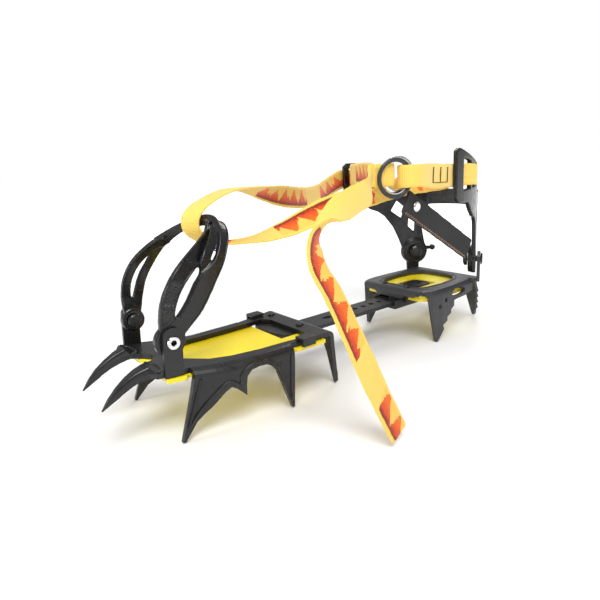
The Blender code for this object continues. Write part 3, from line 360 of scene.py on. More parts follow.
def woven(name, printed):
    """Flat polyester webbing: ribs across it, a twill slant in each rib, and plain edges."""
    paint = Paint(name, 0.78, specular=0.25)
    paint.set("Sheen Weight", 0.35)
    paint.set("Sheen Roughness", 0.4)
    along = paint.value("along")
    across = paint.maths("MULTIPLY", paint.value("across"), -1.0)
    size = paint.maths("ABSOLUTE", across)
    wobble = paint.maths("MULTIPLY_ADD", paint.noise(900.0, 2.0), 0.0004, along)
    rib = paint.maths("SINE", paint.maths("MULTIPLY", wobble, 2 * math.pi / RIB_PITCH))
    rib = paint.spread(rib, -1.0, 1.0)
    slant = paint.maths("MULTIPLY_ADD", across, YARN_LEAN, paint.maths("MULTIPLY", along, YARNS))
    yarn = paint.spread(paint.maths("SINE", slant), -1.0, 1.0)
    edge = paint.spread(size, 0.86, 0.94, smooth=True)
    # rib tops are painted paler as painted light and the grooves darker as painted shade, with a
    # random tone from noise
    shade = paint.maths("MULTIPLY_ADD", yarn, 0.18, paint.maths("MULTIPLY", rib, 0.62))
    shade = paint.maths("MULTIPLY_ADD", paint.noise(55.0, 3.0), 0.35, shade)
    ground = paint.mix(paint.spread(shade, 0.15, 0.95), YELLOW_YARN, RIB_LIT_PALE_YARN)
    ground = paint.mix(paint.maths("MULTIPLY", edge, 0.35), ground, YELLOW_YARN)
    if printed:
        ground = flame_print(paint, ground, along, across, rib)
    paint.link(ground, "Base Color")
    height = paint.maths("MULTIPLY_ADD", yarn, 0.3, rib)
    height = paint.maths("MULTIPLY", height, paint.spread(edge, 0.0, 1.0, 1.0, 0.45))
    paint.link(paint.bump(height, 0.00022, 0.8), "Normal")
    return paint.material


def leather(name):
    """Black coated leather with fine creases."""
    paint = Paint(name, 0.7, specular=0.35)
    cells = paint.node("ShaderNodeTexVoronoi", {"Vector": paint.place, "Scale": 650.0})
    crease = cells.outputs["Distance"]
    cloud = paint.noise(60.0, 4.0)
    colour = paint.mix(paint.spread(cloud, 0.3, 0.7), (0.016, 0.016, 0.017), (0.034, 0.033, 0.033))
    paint.link(colour, "Base Color")
    paint.link(paint.spread(cloud, 0.3, 0.7, 0.62, 0.8), "Roughness")
    fine = paint.bump(paint.noise(1800.0, 3.0), 0.00006, 0.5)
    paint.link(paint.bump(crease, 0.0001, 0.5, fine), "Normal")
    return paint.material


def thread(name, dark, light):
    """Sewing thread, with a fine twist."""
    paint = Paint(name, 0.8, specular=0.2)
    twist = paint.noise(2600.0, 2.0)
    paint.link(paint.mix(paint.spread(twist, 0.35, 0.65), dark, light), "Base Color")
    paint.link(paint.bump(twist, 0.0001, 0.6), "Normal")
    return paint.material


STEEL = coated_steel("coated_steel", (0.007, 0.007, 0.008), (0.015, 0.015, 0.017), 0.3)
RIM = coated_steel("coated_rim", (0.030, 0.031, 0.034), (0.048, 0.049, 0.053), 0.42)
PLASTIC = moulded("black_nylon", (0.004, 0.004, 0.005), (0.009, 0.009, 0.010), 0.22)
SATIN = moulded("black_housing", (0.012, 0.012, 0.013), (0.022, 0.022, 0.024), 0.42)
YELLOW = soft_yellow("antiball_yellow")
BRIGHT = bare_steel("polished_steel", (0.86, 0.86, 0.87), 0.16)
ZINC = bare_steel("plated_steel", (0.52, 0.52, 0.54), 0.3)
RING_BLACK = coated_steel("ring_black", (0.020, 0.021, 0.023), (0.04, 0.041, 0.044), 0.34)
PRINTED = woven("printed_webbing", True)
PLAIN = woven("plain_webbing", False)
LEATHER = leather("black_leather")
TAN_THREAD = thread("tan_thread", (0.28, 0.17, 0.10), (0.50, 0.36, 0.24))
BROWN_THREAD = thread("brown_thread", (0.045, 0.022, 0.012), (0.13, 0.07, 0.035))

# ---------------------------------------------------------------- finishes on the CAD nodes

WELD_GAP = 2e-6
CREASE = math.radians(38.0)  # an edge that turns more than this is softened
VOXEL = 0.5  # of the moulded parts' fine mesh, in millimetres

# Node, its material, and the width of its softened edges in millimetres
FINISHES = (
    ("front_frame", STEEL, 0.45),
    ("heel_frame", RIM, 0.45),
    ("linking_bar", STEEL, 0.5),
    ("adjuster_lever", STEEL, 0.5),
    ("front_antiball_plate", YELLOW, 0.6),
    ("heel_antiball_plate", YELLOW, 0.8),
    ("bar_bracket", SATIN, 0.4),
    ("bar_housing", SATIN, 0.35),
    ("edge_clip_outer", SATIN, 0.5),
    ("edge_clip_inner", SATIN, 0.5),
    ("bar_pivot_pin", ZINC, 0.3),
    ("bracket_rivet_outer", STEEL, 0.25),
    ("bracket_rivet_inner", STEEL, 0.25),
    ("housing_screw_outer", STEEL, 0.25),
    ("housing_screw_inner", STEEL, 0.25),
    ("lever_rod", ZINC, 0.3),
    ("lock_pin", ZINC, 0.2),
    ("lever_spring", ZINC, 0.15),
    ("heel_rivet_outer", STEEL, 0.3),
    ("heel_rivet_inner", STEEL, 0.3),
    ("heel_cap_outer", PLASTIC, 0.4),
    ("heel_cap_inner", PLASTIC, 0.4),
    ("toe_eyelet_outer", BRIGHT, 0.2),
    ("toe_eyelet_inner", BRIGHT, 0.2),
    ("toe_cap_outer", PLASTIC, 0.4),
    ("toe_cap_inner", PLASTIC, 0.4),
    ("tab_rivet", BRIGHT, 0.2),
    ("toe_bail", PLASTIC, 0.0),
    ("heel_harness", PLASTIC, 0.0),
)
# Moulded node and its rounds of smoothing
MOULDINGS = (("toe_bail", 9), ("heel_harness", 6))


def soften(obj, width):
    """Joins the node's split points and bevels its hard edges."""
    obj.modifiers.new("join", "WELD").merge_threshold = WELD_GAP
    modifier = obj.modifiers.new("soft_edges", "BEVEL")
    modifier.width = width * MM
    modifier.segments = 2
    modifier.limit_method = "ANGLE"
    modifier.angle_limit = CREASE
    modifier.use_clamp_overlap = True
    modifier.harden_normals = True


def melt(obj, rounds):
    """A fine even mesh with the moulded roundness of an injected part."""
    obj.modifiers.new("join", "WELD").merge_threshold = WELD_GAP
    modifier = obj.modifiers.new("fine", "REMESH")
    modifier.mode = "VOXEL"
    modifier.voxel_size = VOXEL * MM
    modifier.use_smooth_shade = True
    smooth = obj.modifiers.new("round", "SMOOTH")
    smooth.factor = 0.5
    smooth.iterations = rounds


def finish_cad():
    for name, material, width in FINISHES:
        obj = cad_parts[name]
        for index in range(len(obj.material_slots)):
            obj.material_slots[index].link = "OBJECT"
            obj.material_slots[index].material = material
        if width:
            soften(obj, width)
    for name, rounds in MOULDINGS:
        melt(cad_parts[name], rounds)


# ---------------------------------------------------------------- building pieces


def add(name, bm, material, body, slot, smooth_deg=40.0):
    """A finished piece, in the row frame, that moves with a body. With None it is attached to no
    body.
    """
    bmesh.ops.recalc_face_normals(bm, faces=bm.faces)
    mesh = bpy.data.meshes.new(name)
    bm.to_mesh(mesh)
    bm.free()
    mesh.materials.append(material)
    mesh.shade_smooth()
    mesh.set_sharp_from_angle(angle=math.radians(smooth_deg))
    obj = bpy.data.objects.new(name, mesh)
    bpy.context.scene.collection.objects.link(obj)
    if body:
        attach(obj, body)
    return obj


def grid_loft(bm, rings, caps=True, loop=False):
    """A skin over closed rings that have the same number of points."""
    rows = [[bm.verts.new(p) for p in ring] for ring in rings]
    count = len(rows[0])
    pairs = list(zip(rows, rows[1:])) + ([(rows[-1], rows[0])] if loop else [])
    for low, high in pairs:
        for i in range(count):
            j = (i + 1) % count
            bm.faces.new((low[i], low[j], high[j], high[i]))
    if caps and not loop:
        bm.faces.new(rows[0][::-1])
        bm.faces.new(rows[-1])


def smooth_line(points, step=1.2):
    """Points of a Catmull-Rom curve through the given ones, about a step apart, in millimetres."""
    points = [Vector(p) for p in points]
    out = []
    for i in range(len(points) - 1):
        p1, p2 = points[i], points[i + 1]
        p0 = points[i - 1] if i else 2 * p1 - p2
        p3 = points[i + 2] if i + 2 < len(points) else 2 * p2 - p1
        count = max(1, round((p2 - p1).length / step))
        for k in range(count):
            f = k / count
            bend = (2 * p0 - 5 * p1 + 4 * p2 - p3) * f * f + (3 * p1 - p0 - 3 * p2 + p3) * f**3
            out.append(0.5 * (2 * p1 + (p2 - p0) * f + bend))
    return out + [points[-1]]


def tube(bm, points, radius, sides=8, loop=False):
    """A round bead along a line in millimetres. The radius is a number or one for each end."""
    start, end = radius if isinstance(radius, tuple) else (radius, radius)
    count = len(points)
    rings = []
    side = None
    for i, here in enumerate(points):
        before = points[i - 1] if i or loop else here
        after = points[(i + 1) % count] if i + 1 < count or loop else here
        ahead = (after - before).normalized()
        if side is None:
            side = ahead.orthogonal()
        side = (side - ahead * side.dot(ahead)).normalized()
        up = ahead.cross(side)
        r = start + (end - start) * i / max(1, count - 1)
        ring = []
        for k in range(sides):
            a = 2 * math.pi * k / sides
            ring.append(at(*(here + (side * math.cos(a) + up * math.sin(a)) * r)))
        rings.append(ring)
    grid_loft(bm, rings, loop=loop)


def beads(name, lines, radius, material, body, slot, smooth=True, loop=False, sides=8):
    """Several beads in one piece, each along its line of design places."""
    bm = bmesh.new()
    for points in lines:
        if loop:
            points = list(points) + [points[0]]
        line = smooth_line(points) if smooth else [Vector(p) for p in points]
        if loop:
            line = line[:-1]
        tube(bm, line, radius, sides, loop)
    return add(name, bm, material, body, slot, 60.0)


def turned(bm, profile, centre, axis, segments, hollow=False):
    """A profile of (radius, place along the axis), turned about it. A hollow one is a closed ring."""
    turn = Vector((0.0, 0.0, 1.0)).rotation_difference(Vector(axis)).to_matrix()
    rings = []
    for radius, along in profile:
        ring = []
        for i in range(segments):
            angle = 2 * math.pi * i / segments
            point = Vector((radius * math.cos(angle), radius * math.sin(angle), along))
            ring.append(at(*(Vector(centre) + turn @ point)))
        rings.append(ring)
    grid_loft(bm, rings, caps=not hollow, loop=hollow)


# ---------------------------------------------------------------- webbing

STRAP = 16.0  # width of the long strap
WEB = 1.5  # thickness of the webbing
STRAP_Z, ANCHOR_Z = 136.0, 134.6  # heights of the middles of both straps at the rings
STEEL_RING = Vector((-79.0, 57.0, 135.5))
BLACK_RING = Vector((-73.4, 60.3, 133.9))
RING_AXIS = Vector((0.3, 0.954, 0.0)).normalized()
RING_AHEAD = Vector((0.954, -0.3, 0.0)).normalized()
CROSSING = 14.0  # width of the webbing where it passes through the rings


def at_rings(ahead, out, z):
    """A row of webbing placed from the steel ring's centre, along and out of the ring's plane."""
    x, y, _ = STEEL_RING + RING_AHEAD * ahead + RING_AXIS * out
    return (x, y, z, 0, 0, 1, CROSSING)


# Rows of the long strap: its middle, the direction across it, and its width there
LOWER_STRAND = [
    (-140, 50.2, 129.5, 0, 0, 1, STRAP), (-115, 51, 129.5, 0, 0, 1, STRAP),
    (-90, 49, 127.0, 0, 0, 1, 13),
    (-67, 46, 122.6, 0, 0, 1, 11), (-43, 43, 121, 0, -0.3, 1, 14),
    (-24, 37, 115, 0, -0.75, 0.65, STRAP), (-9, 27, 108, 0, -0.95, 0.3, STRAP),
    (6, 14, 103, 0, -1, 0, STRAP), (20, 3, 102, 0.1, -1, 0, STRAP),
]
BAIL_TURN = [
    (32, 1, 105, 0.4, -0.9, 0, 14), (39.6, 0.5, 112.3, 0.45, -0.89, 0, 13),
    (38.2, 0.5, 121.5, 0.45, -0.89, 0, 13), (27, -0.5, 128.5, 0.3, -0.95, 0, 14.5),
]
UPPER_STRAND = [
    (9, -4, 133, 0, -1, 0, STRAP), (-8, -7, 132, 0, -1, -0.2, STRAP),
    (-29, -15, 127.5, 0, -0.8, -0.6, STRAP), (-52, -26, 122.5, 0, -0.4, -0.9, STRAP),
    (-78, -39, 119, 0, -0.1, -1, STRAP), (-104, -53, 119, 0, 0, -1, STRAP),
    (-126, -63.5, 123.5, 0, 0, -1, STRAP), (-142, -66.3, 128, 0, 0, -1, STRAP),
    (-151.5, -63, 128.3, 0, 0, -1, 15.5), (-151.5, -57, 128.3, 0, 0, -1, 15.5),
    (-143, -52, 130.5, 0, 0, -1, STRAP), (-134, -44, 133, 0, 0, -1, STRAP),
    (-118, -18, 134.5, 0, 0, -1, STRAP), (-98, 12, 135.3, 0, 0, -1, STRAP),
    (-78, 37, 136, 0, 0, -1, 14.5), (-67.5, 47.3, 136, 0, 0, -1, CROSSING),
]
# Along and out of the rings: through the steel ring, back over its front, and under the black one
RING_TURN = [(9.5, -2.5), (5.4, -2.1), (3.1, 0.1), (5.4, 2.4), (10.5, 2.3), (17, 2.2), (20.5, 2.6)]
TAIL = [
    (-51.3, 58.5, 128, 0.15, 0.15, -0.95, STRAP), (-36.5, 63, 124.9, 0.34, 0.38, -0.8, STRAP),
    (-21.5, 68, 121.8, 0.48, 0.54, -0.62, STRAP), (-10, 72, 118, 0.6, 0.67, -0.36, STRAP),
    (0.5, 76, 114.2, 0.7, 0.7, -0.05, STRAP), (9.8, 81, 107.6, 0.88, 0.5, 0.09, STRAP),
    (14.8, 88, 96.5, 0.97, 0.3, 0.1, STRAP), (11, 95, 81.6, 0.98, 0.2, 0.1, STRAP),
    (5.6, 106, 54.3, 1, 0.1, 0.15, STRAP), (-2.1, 112, 29.2, 1, 0.1, 0.2, STRAP),
    (-10.5, 118, 5, 1, 0.1, 0.2, STRAP),
]
LONG_STRAP = LOWER_STRAND + BAIL_TURN + UPPER_STRAND
LONG_STRAP += [(*at_rings(a, b, STRAP_Z)[:3], 0, 0, -1, CROSSING) for a, b in RING_TURN] + TAIL
# The anchor strap's middle and width round the rear loop, then its hairpin through the rings
ANCHOR = [
    (-113, 56.4, 132, 15.5), (-134, 55.3, 131.5, 15.5), (-147, 53.2, 131, 15),
    (-158.5, 51.4, 130.3, 14), (-163.8, 53.6, 130.3, 14), (-163, 57.8, 130.3, 14),
    (-158, 59.6, 130.5, 14.5), (-152, 58.6, 131, 15), (-144.5, 57, 131.2, 15.5),
    (-134, 58.1, 131.5, 15.5), (-120, 61, 132, STRAP), (-104, 64.6, 133, STRAP),
]
HAIRPIN = [(-13, 7.6), (-4, 7.5), (0.5, 2.5), (-4, -2.2), (-12, -2.8)]
ANCHOR = [(x, y, z, 0, 0, 1, width) for x, y, z, width in ANCHOR]
ANCHOR += [at_rings(a, b, ANCHOR_Z) for a, b in HAIRPIN]


def between(rows, t):
    """A smooth curve through rows of numbers, at t from 0 to the last row."""
    last = len(rows) - 1
    i = max(0, min(int(t), last - 1))
    f = t - i
    p1, p2 = rows[i], rows[i + 1]
    p0 = rows[i - 1] if i else [2 * a - b for a, b in zip(p1, p2)]
    p3 = rows[i + 2] if i + 2 <= last else [2 * b - a for a, b in zip(p1, p2)]
    out = []
    for a, b, c, d in zip(p0, p1, p2, p3):
        bend = (2 * a - 5 * b + 4 * c - d) * f * f + (3 * b - a - 3 * c + d) * f**3
        out.append(0.5 * (2 * b + (c - a) * f + bend))
    return out


class Strip:
    """A flat strip's middle line, with its direction, side and face at each place along it."""

    STEPS = 24  # measured between two rows

    def __init__(self, rows):
        self.rows = rows
        self.lengths = [0.0]
        last = Vector(rows[0][:3])
        for i in range(1, (len(rows) - 1) * self.STEPS + 1):
            here = Vector(between(rows, i / self.STEPS)[:3])
            self.lengths.append(self.lengths[-1] + (here - last).length)
            last = here

    def length(self, t):
        """Millimetres from the first row to t."""
        i = min(int(t * self.STEPS), len(self.lengths) - 2)
        return self.lengths[i] + (self.lengths[i + 1] - self.lengths[i]) * (t * self.STEPS - i)

    def frame(self, t):
        """Middle, direction along, direction across, direction out, and width."""
        x, y, z, ax, ay, az, width = between(self.rows, t)
        low, high = max(0.0, t - 0.05), min(len(self.rows) - 1.0, t + 0.05)
        before, after = (Vector(between(self.rows, place)[:3]) for place in (low, high))
        ahead = (after - before).normalized()
        side = Vector((ax, ay, az))
        side = (side - ahead * side.dot(ahead)).normalized()
        return Vector((x, y, z)), ahead, side, ahead.cross(side), width

    def stations(self, first, last, step):
        """Row positions about a step in millimetres apart."""
        out = [first]
        total = self.length(last) - self.length(first)
        count = max(2, round(total / step))
        t = first
        for i in range(1, count):
            want = self.length(first) + total * i / count
            while self.length(t) < want:
                t += 0.004
            out.append(t)
        return out + [last]

    def on(self, t, across, out):
        """A place on the strip: a share of its half width across, and millimetres out."""
        centre, _, side, up, width = self.frame(t)
        return centre + side * (width / 2 * across) + up * out


ACROSS = 13  # points across each face of the webbing
SECTION = [-1.0 + 2.0 * i / (ACROSS - 1) for i in range(ACROSS)]
ROUNDED = 0.16  # share of the half width that thins toward the edge
CUT_LENGTH, CUT_TAPER = 2.5, 0.1  # of the heat-cut end
CROWN = 0.10  # rise of the webbing's middle
WAVES = ((0.12, 410.0), (0.08, 1130.0))  # of its edges: height, and radians a metre


def half_thick(across, thick):
    """Half the webbing's thickness, thinner in the last part toward its rounded edge."""
    rest = max(0.0, (abs(across) - (1.0 - ROUNDED)) / ROUNDED)
    return thick / 2 * math.sqrt(max(0.0, 1.0 - 0.8 * rest * rest))


def webbing(
    name, strip, first, last, material, slot, body,
    thick=WEB, step=1.6, printed=(0.0, 0.0), cut_end=False,
):
    """A length of webbing as a closed mesh that carries its own place along and across.

    printed is the range of rows where the print shows on the second face as well."""
    bm = bmesh.new()
    along_layer = bm.verts.layers.float.new("along")
    across_layer = bm.verts.layers.float.new("across")
    face_layer = bm.verts.layers.float.new("face")
    rows = []
    stations = strip.stations(first, last, step)
    for number, t in enumerate(stations):
        centre, _, side, up, width = strip.frame(t)
        place = strip.length(t) * MM
        if cut_end:
            left = strip.length(last) - strip.length(t)
            width *= 1.0 - CUT_TAPER * max(0.0, 1.0 - left / CUT_LENGTH) ** 2
        wave = sum(height * math.sin(place * pace) for height, pace in WAVES)
        both = printed[0] < t <= printed[1]
        ring = []
        for face, values in ((-1, SECTION), (1, SECTION[::-1])):
            for value in values:
                out = face * half_thick(value, thick) + CROWN * math.cos(value * 2.6)
                beside = value * width / 2 + (wave if abs(value) > 0.9 else 0.0)
                point = centre + side * beside + up * out
                vert = bm.verts.new(at(*point))
                vert[along_layer] = place
                vert[across_layer] = value
                vert[face_layer] = 1.0 if face < 0 or both else 0.0
                ring.append(vert)
        rows.append(ring)
    for low, high in zip(rows, rows[1:]):
        for i in range(len(low)):
            j = (i + 1) % len(low)
            bm.faces.new((low[i], low[j], high[j], high[i]))
    bm.faces.new(rows[0][::-1])
    bm.faces.new(rows[-1])
    return add(name, bm, material, body, slot, 55.0)


# Name, CAD node, first and last row, and the bodies at its ends, the same where it crosses no joint
STRETCHES = (
    ("lower_web_4", "strap_lower_4", 0, 2, "heel_harness", "heel_section"),
    ("lower_web_3", "strap_lower_3", 2, 4, "heel_section", "linking_bar"),
    ("lower_web_2", "strap_lower_2", 4, 6, "linking_bar", "front_section"),
    ("lower_web_1", "strap_lower_1", 6, 8, "front_section", "toe_bail"),
    ("bail_web", "strap_bail_turn", 8, 13, "toe_bail", "toe_bail"),
    ("upper_web_1", "strap_upper_1", 13, 15, "toe_bail", "front_section"),
    ("upper_web_2", "strap_upper_2", 15, 16, "front_section", "linking_bar"),
    ("upper_web_3", "strap_upper_3", 16, 18, "linking_bar", "heel_section"),
    ("upper_web_4", "strap_upper_4", 18, 19, "heel_section", "heel_harness"),
    ("far_loop_web", "strap_inner_turn", 19, 24, "heel_harness", "heel_harness"),
    ("instep_web", "strap_instep", 24, 32, "heel_harness", "heel_harness"),
    ("tail_web", "strap_tail", 32, 46, "heel_harness", "heel_harness"),
)
TWO_SIDED = (18.6, 27.5)  # rows where the printed face turns away and the print shows through


def make_webbing():
    strip = Strip(LONG_STRAP)
    end = len(LONG_STRAP) - 1
    for name, node, first, last, before, after in STRETCHES:
        body = before if before == after else None
        obj = webbing(
            name, strip, first, last, PRINTED, node, body, printed=TWO_SIDED, cut_end=last == end
        )
        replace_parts(obj, node)
        if body is None:
            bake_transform(obj)
    anchor = Strip(ANCHOR)
    last = len(ANCHOR) - 1
    obj = webbing("anchor_web", anchor, 0, last, PLAIN, "anchor_strap", "heel_harness", step=1.3)
    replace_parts(obj, "anchor_strap")
    seams = make_anchor_seams(anchor)


# Name, CAD node, centre, mean radius, the section's width, thickness and squareness, material
RINGS = (
    ("flat_ring", "steel_ring", STEEL_RING, 10.5, 3.0, 1.8, 0.55, BRIGHT),
    ("round_ring", "black_ring", BLACK_RING, 11.3, 2.8, 2.2, 1.0, RING_BLACK),
)


def make_rings():
    """The flat steel ring and the round black one, with smoothly rounded sections."""
    for name, node, centre, radius, width, thick, power, material in RINGS:
        section = []
        for i in range(24):
            a = 2 * math.pi * i / 24
            c, s = math.cos(a), math.sin(a)
            section.append((
                radius + width / 2 * math.copysign(abs(c) ** power, c),
                thick / 2 * math.copysign(abs(s) ** power, s),
            ))
        bm = bmesh.new()
        turned(bm, section, centre, RING_AXIS, 96, hollow=True)
        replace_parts(add(name, bm, material, "heel_harness", node, 60.0), node)


def zigzag(strip, start, end, width, count, out):
    """A zigzag stitch between two places (row, share across) on a strip, in millimetres."""
    points = []
    for i in range(count + 1):
        f = i / count
        t = start[0] + (end[0] - start[0]) * f
        across = start[1] + (end[1] - start[1]) * f
        swing = width * (1 if i % 2 else -1)
        centre, ahead, side, up, wide = strip.frame(t)
        along_row = abs(end[0] - start[0]) > abs(end[1] - start[1]) * 0.3
        shift = side * swing if along_row else ahead * swing
        points.append(centre + side * (wide / 2 * across) + up * out + shift)
    return points


TACK_ROWS = (9.68, 10.36, 11.02)  # rows of the anchor strap with a bar tack across
TACK_ENDS = (-0.42, 0.72)  # shares across
SEAM_ROWS, SEAM_ACROSS, SEAM_STITCHES = (9.62, 11.08), -0.5, 22


def make_anchor_seams(strip):
    """Three bar tacks across the sewn overlap, and the fine seam that joins them below."""
    out = -(WEB / 2 + 0.12)
    bars = [zigzag(strip, (t, TACK_ENDS[0]), (t, TACK_ENDS[1]), 0.7, 26, out) for t in TACK_ROWS]
    first, last = SEAM_ROWS
    line = []
    for i in range(SEAM_STITCHES + 1):
        t = first + (last - first) * i / SEAM_STITCHES
        line.append(strip.on(t, SEAM_ACROSS, out + (0.12 if i % 2 else -0.02)))
    where = (BROWN_THREAD, "heel_harness", "anchor_strap")
    tacks = beads("anchor_tacks", bars, 0.3, *where, smooth=False, sides=6)
    return [tacks, beads("anchor_seam", [line], 0.22, *where, smooth=False, sides=6)]


# ---------------------------------------------------------------- pull tab


TAB_TOP, TAB_END = Vector((-82.0, 61.0, 118.8)), Vector((-153.5, 59.0, 76.5))
TAB_SIDE = (0.5, 0, 0.85)
TAB_WIDTH, TAB_THICK = 15.5, 1.8
STITCH_ACROSS = -0.87  # share of the tab's half width


def make_tab():
    """The leather pull tab, with a stitched front edge."""
    shares = (0.0, 0.33, 0.67, 1.0)
    strip = Strip([(*TAB_TOP.lerp(TAB_END, share), *TAB_SIDE, TAB_WIDTH) for share in shares])
    last = len(shares) - 1
    where = ("pull_tab", "pull_tab")
    obj = webbing("tab_leather", strip, 0, last, LEATHER, *where, thick=TAB_THICK, step=2.0)
    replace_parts(obj, "pull_tab")
    for face, side in ((-1, "in"), (1, "out")):
        line = zigzag(strip, (0.08, STITCH_ACROSS), (2.9, STITCH_ACROSS), 0.75, 66, face * 0.95)
        name = f"tab_stitch_front_{side}"
        beads(name, [line], 0.2, TAN_THREAD, *where, smooth=False, sides=6)


# ---------------------------------------------------------------- embossing on the stamped steel

BEND = 5.0  # outside radius of the folds
FRONT_TOP = 40.0
HEEL_TOP = 42.0
FRONT_RISE, RISE_LENGTH = 2.5, 40.0  # of the front deck toward its front edge
CLAW_ROOT = 84.0
CLAW_START, CLAW_TURN, CLAW_LENGTH = 8.0, 46.0, 34.0  # degrees at the root, degrees added, length
CLAW_STEPS = 24
REAR_EDGE = -28.5
REAR_FOLD = math.radians(82.0)
WALL_LEAN = 0.02  # outward, for each unit of depth
PROUD = 0.05  # of the ridges' middle lines over the steel
# (x, y) along the outer and inner edges of the front deck
FRONT_OUTER = (
    (84, 32), (72, 32), (65, 31.5), (52, 36), (38, 39),
    (20, 41), (4, 41.3), (-4, 42), (-15, 42.5), (-30, 42),
)
FRONT_INNER = ((84, 33), (72, 32), (64, 28.5), (54, 23.5), (38, 20), (4, 20), (-8, 22), (-30, 26))
# (x, depth) of the pressed contour of the side teeth
TOOTH_CONTOUR = (
    (62.2, 6), (63.4, 10), (66.4, 17.5), (72.6, 33), (68.0, 28.2), (60.5, 20.5), (52.5, 13.2),
    (47, 10.6), (43.5, 11.8), (40.8, 14.5), (40.2, 11), (39.2, 7.6), (34.0, 4.2), (28, 3.4),
    (22.5, 3.8), (18.6, 7.2), (14.4, 13.5), (8.3, 34), (7.0, 25), (5.6, 9), (5.0, 4.2),
)
# y of each rear leg at its root, outside and inside, y of its tip, and its side
REAR_LEGS = ((42, 31, 37.5, 1), (26, 17, 27, -1))
CLAW_RIDGE = ((0.5, 19.5), (8, 18.8), (18, 18.2), (26, 17.9), (33.0, 17.7))  # along, y
CLAW_ARC = ((83.0, 9.5), (80.4, 12), (79.0, 16.5), (79.0, 22.5), (80.2, 27), (83.0, 30.0))


def interpolate(table, x):
    rows = sorted(table)
    if x <= rows[0][0]:
        return rows[0][1]
    for (x0, v0), (x1, v1) in zip(rows, rows[1:]):
        if x <= x1:
            return v0 + (v1 - v0) * (x - x0) / (x1 - x0)
    return rows[-1][1]


def front_height(x):
    share = (x - CLAW_ROOT) / RISE_LENGTH + 1
    return FRONT_TOP + FRONT_RISE * min(max(share, 0.0), 1.0) ** 2


def front_wall(x, depth, side):
    """A place on the front section's side wall, at a depth below the deck."""
    edge = interpolate(FRONT_OUTER if side > 0 else FRONT_INNER, x)
    if depth < BEND:
        turn = math.acos(1.0 - depth / BEND)
        y = edge + (BEND + PROUD) * math.sin(turn)
        return (x, side * y, front_height(x) - depth + PROUD * math.cos(turn))
    y = edge + BEND + WALL_LEAN * (depth - BEND) + PROUD
    return (x, side * y, front_height(x) - depth)


def rear_wall(along, y):
    """A place on the leg folded down from the rear edge of the front section."""
    rest = along - BEND * REAR_FOLD
    sine, cosine = math.sin(REAR_FOLD), math.cos(REAR_FOLD)
    out = BEND * sine + rest * cosine + PROUD * sine
    down = BEND * (1 - cosine) + rest * sine
    return (REAR_EDGE - out, y, FRONT_TOP - down + PROUD * cosine)


def claw_top(along, y, lift):
    """A place on a front claw, which curves down evenly from its root."""
    out = down = 0.0
    for i in range(CLAW_STEPS):
        share = (i + 0.5) / CLAW_STEPS * along / CLAW_LENGTH
        angle = math.radians(CLAW_START + CLAW_TURN * share)
        out += along / CLAW_STEPS * math.cos(angle)
        down += along / CLAW_STEPS * math.sin(angle)
    z = front_height(CLAW_ROOT) - down + lift * math.cos(angle)
    return (CLAW_ROOT + out + lift * math.sin(angle), y, z)


def make_embossing():
    """Pressed ridges on the teeth, the rear legs and the claws."""
    where = (STEEL, "front_section", "front_frame")
    walls = [[front_wall(x, depth, side) for x, depth in TOOTH_CONTOUR] for side in (1, -1)]
    beads("wall_ridges", walls, 0.85, *where)
    legs = []
    for outside, inside, tip, side in REAR_LEGS:
        leg = [(7.5, outside - 3.2), (20, outside - 4.2), (38.5, tip)]
        leg += [(22, inside + 4.6), (8, inside + 2.6)]
        legs.append([rear_wall(along, side * y) for along, y in leg])
    beads("leg_ridges", legs, 0.8, *where)
    claws = bmesh.new()
    for side in (1, -1):
        ridge = [claw_top(along, side * y, -0.5) for along, y in CLAW_RIDGE]
        tube(claws, smooth_line(ridge), (2.0, 0.6), 12)
    add("claw_ridges", claws, *where, 60.0)
    roots = [[(x, side * y, front_height(x) - 0.1) for x, y in CLAW_ARC] for side in (1, -1)]
    beads("claw_root_ridges", roots, 0.9, *where)


# ---------------------------------------------------------------- detail on the moulded parts

# Rows of three bands of the toe bail: middle, direction across, and width
BAIL_FRONT_ARM = [
    (74, 28, 61, 1, 0, 0, 9), (74, 28.3, 68, 1, 0, 0, 9), (73.4, 30, 76, 1, 0, 0.1, 9),
    (70.5, 31, 84, 1, 0, 0.2, 9), (66, 31, 90.6, 1, 0, 0.35, 9), (59, 29, 96.6, 1, 0, 0.45, 9),
    (49.3, 24, 102, 1, 0, 0.45, 9), (42, 18.5, 105.5, 1, 0, 0.6, 8.5), (35, 14, 110, 1, 0, 0.8, 8),
    (31.5, 12, 116, 1, 0, 0.6, 8),
]
BAIL_OUTER_RIB = [
    (72.4, 28.3, 60.4, 1, 0, 0.3, 11), (64.5, 29.5, 67.5, 1, 0, 0.5, 10.5),
    (58, 31.5, 75.5, 1, 0, 0.5, 11.5), (50.5, 32.5, 87, 1, 0, 0.4, 11.5),
    (42, 32.5, 96, 1, 0, 0.4, 6.5), (36.5, 30, 104, 1, 0, 0.3, 5.5), (32.5, 25, 111, 1, 0, 0.3, 6),
    (30.5, 17, 116.5, 0.8, 0, 0.6, 6.5), (31.5, 6, 117.5, 0.6, 0, 0.8, 6.5),
    (36, -4, 115.8, 0.4, 0, 0.9, 5.5), (42.5, -13, 112, 0.4, 0, 0.9, 5.5),
    (52, -23.5, 104, 0.8, 0, 0.5, 8),
]
BAIL_FAR_RIB = [
    (50, -21, 106, 1, 0, 0.5, 5.5), (56, -26.5, 101.5, 1, 0, 0.6, 5.5),
    (65, -31.5, 93, 1, 0, 0.4, 5.5), (71.5, -32.5, 83, 1, 0, 0.3, 5.5),
    (74.5, -31, 73, 1, 0, 0, 6), (75, -28, 66, 1, 0, 0, 7),
]
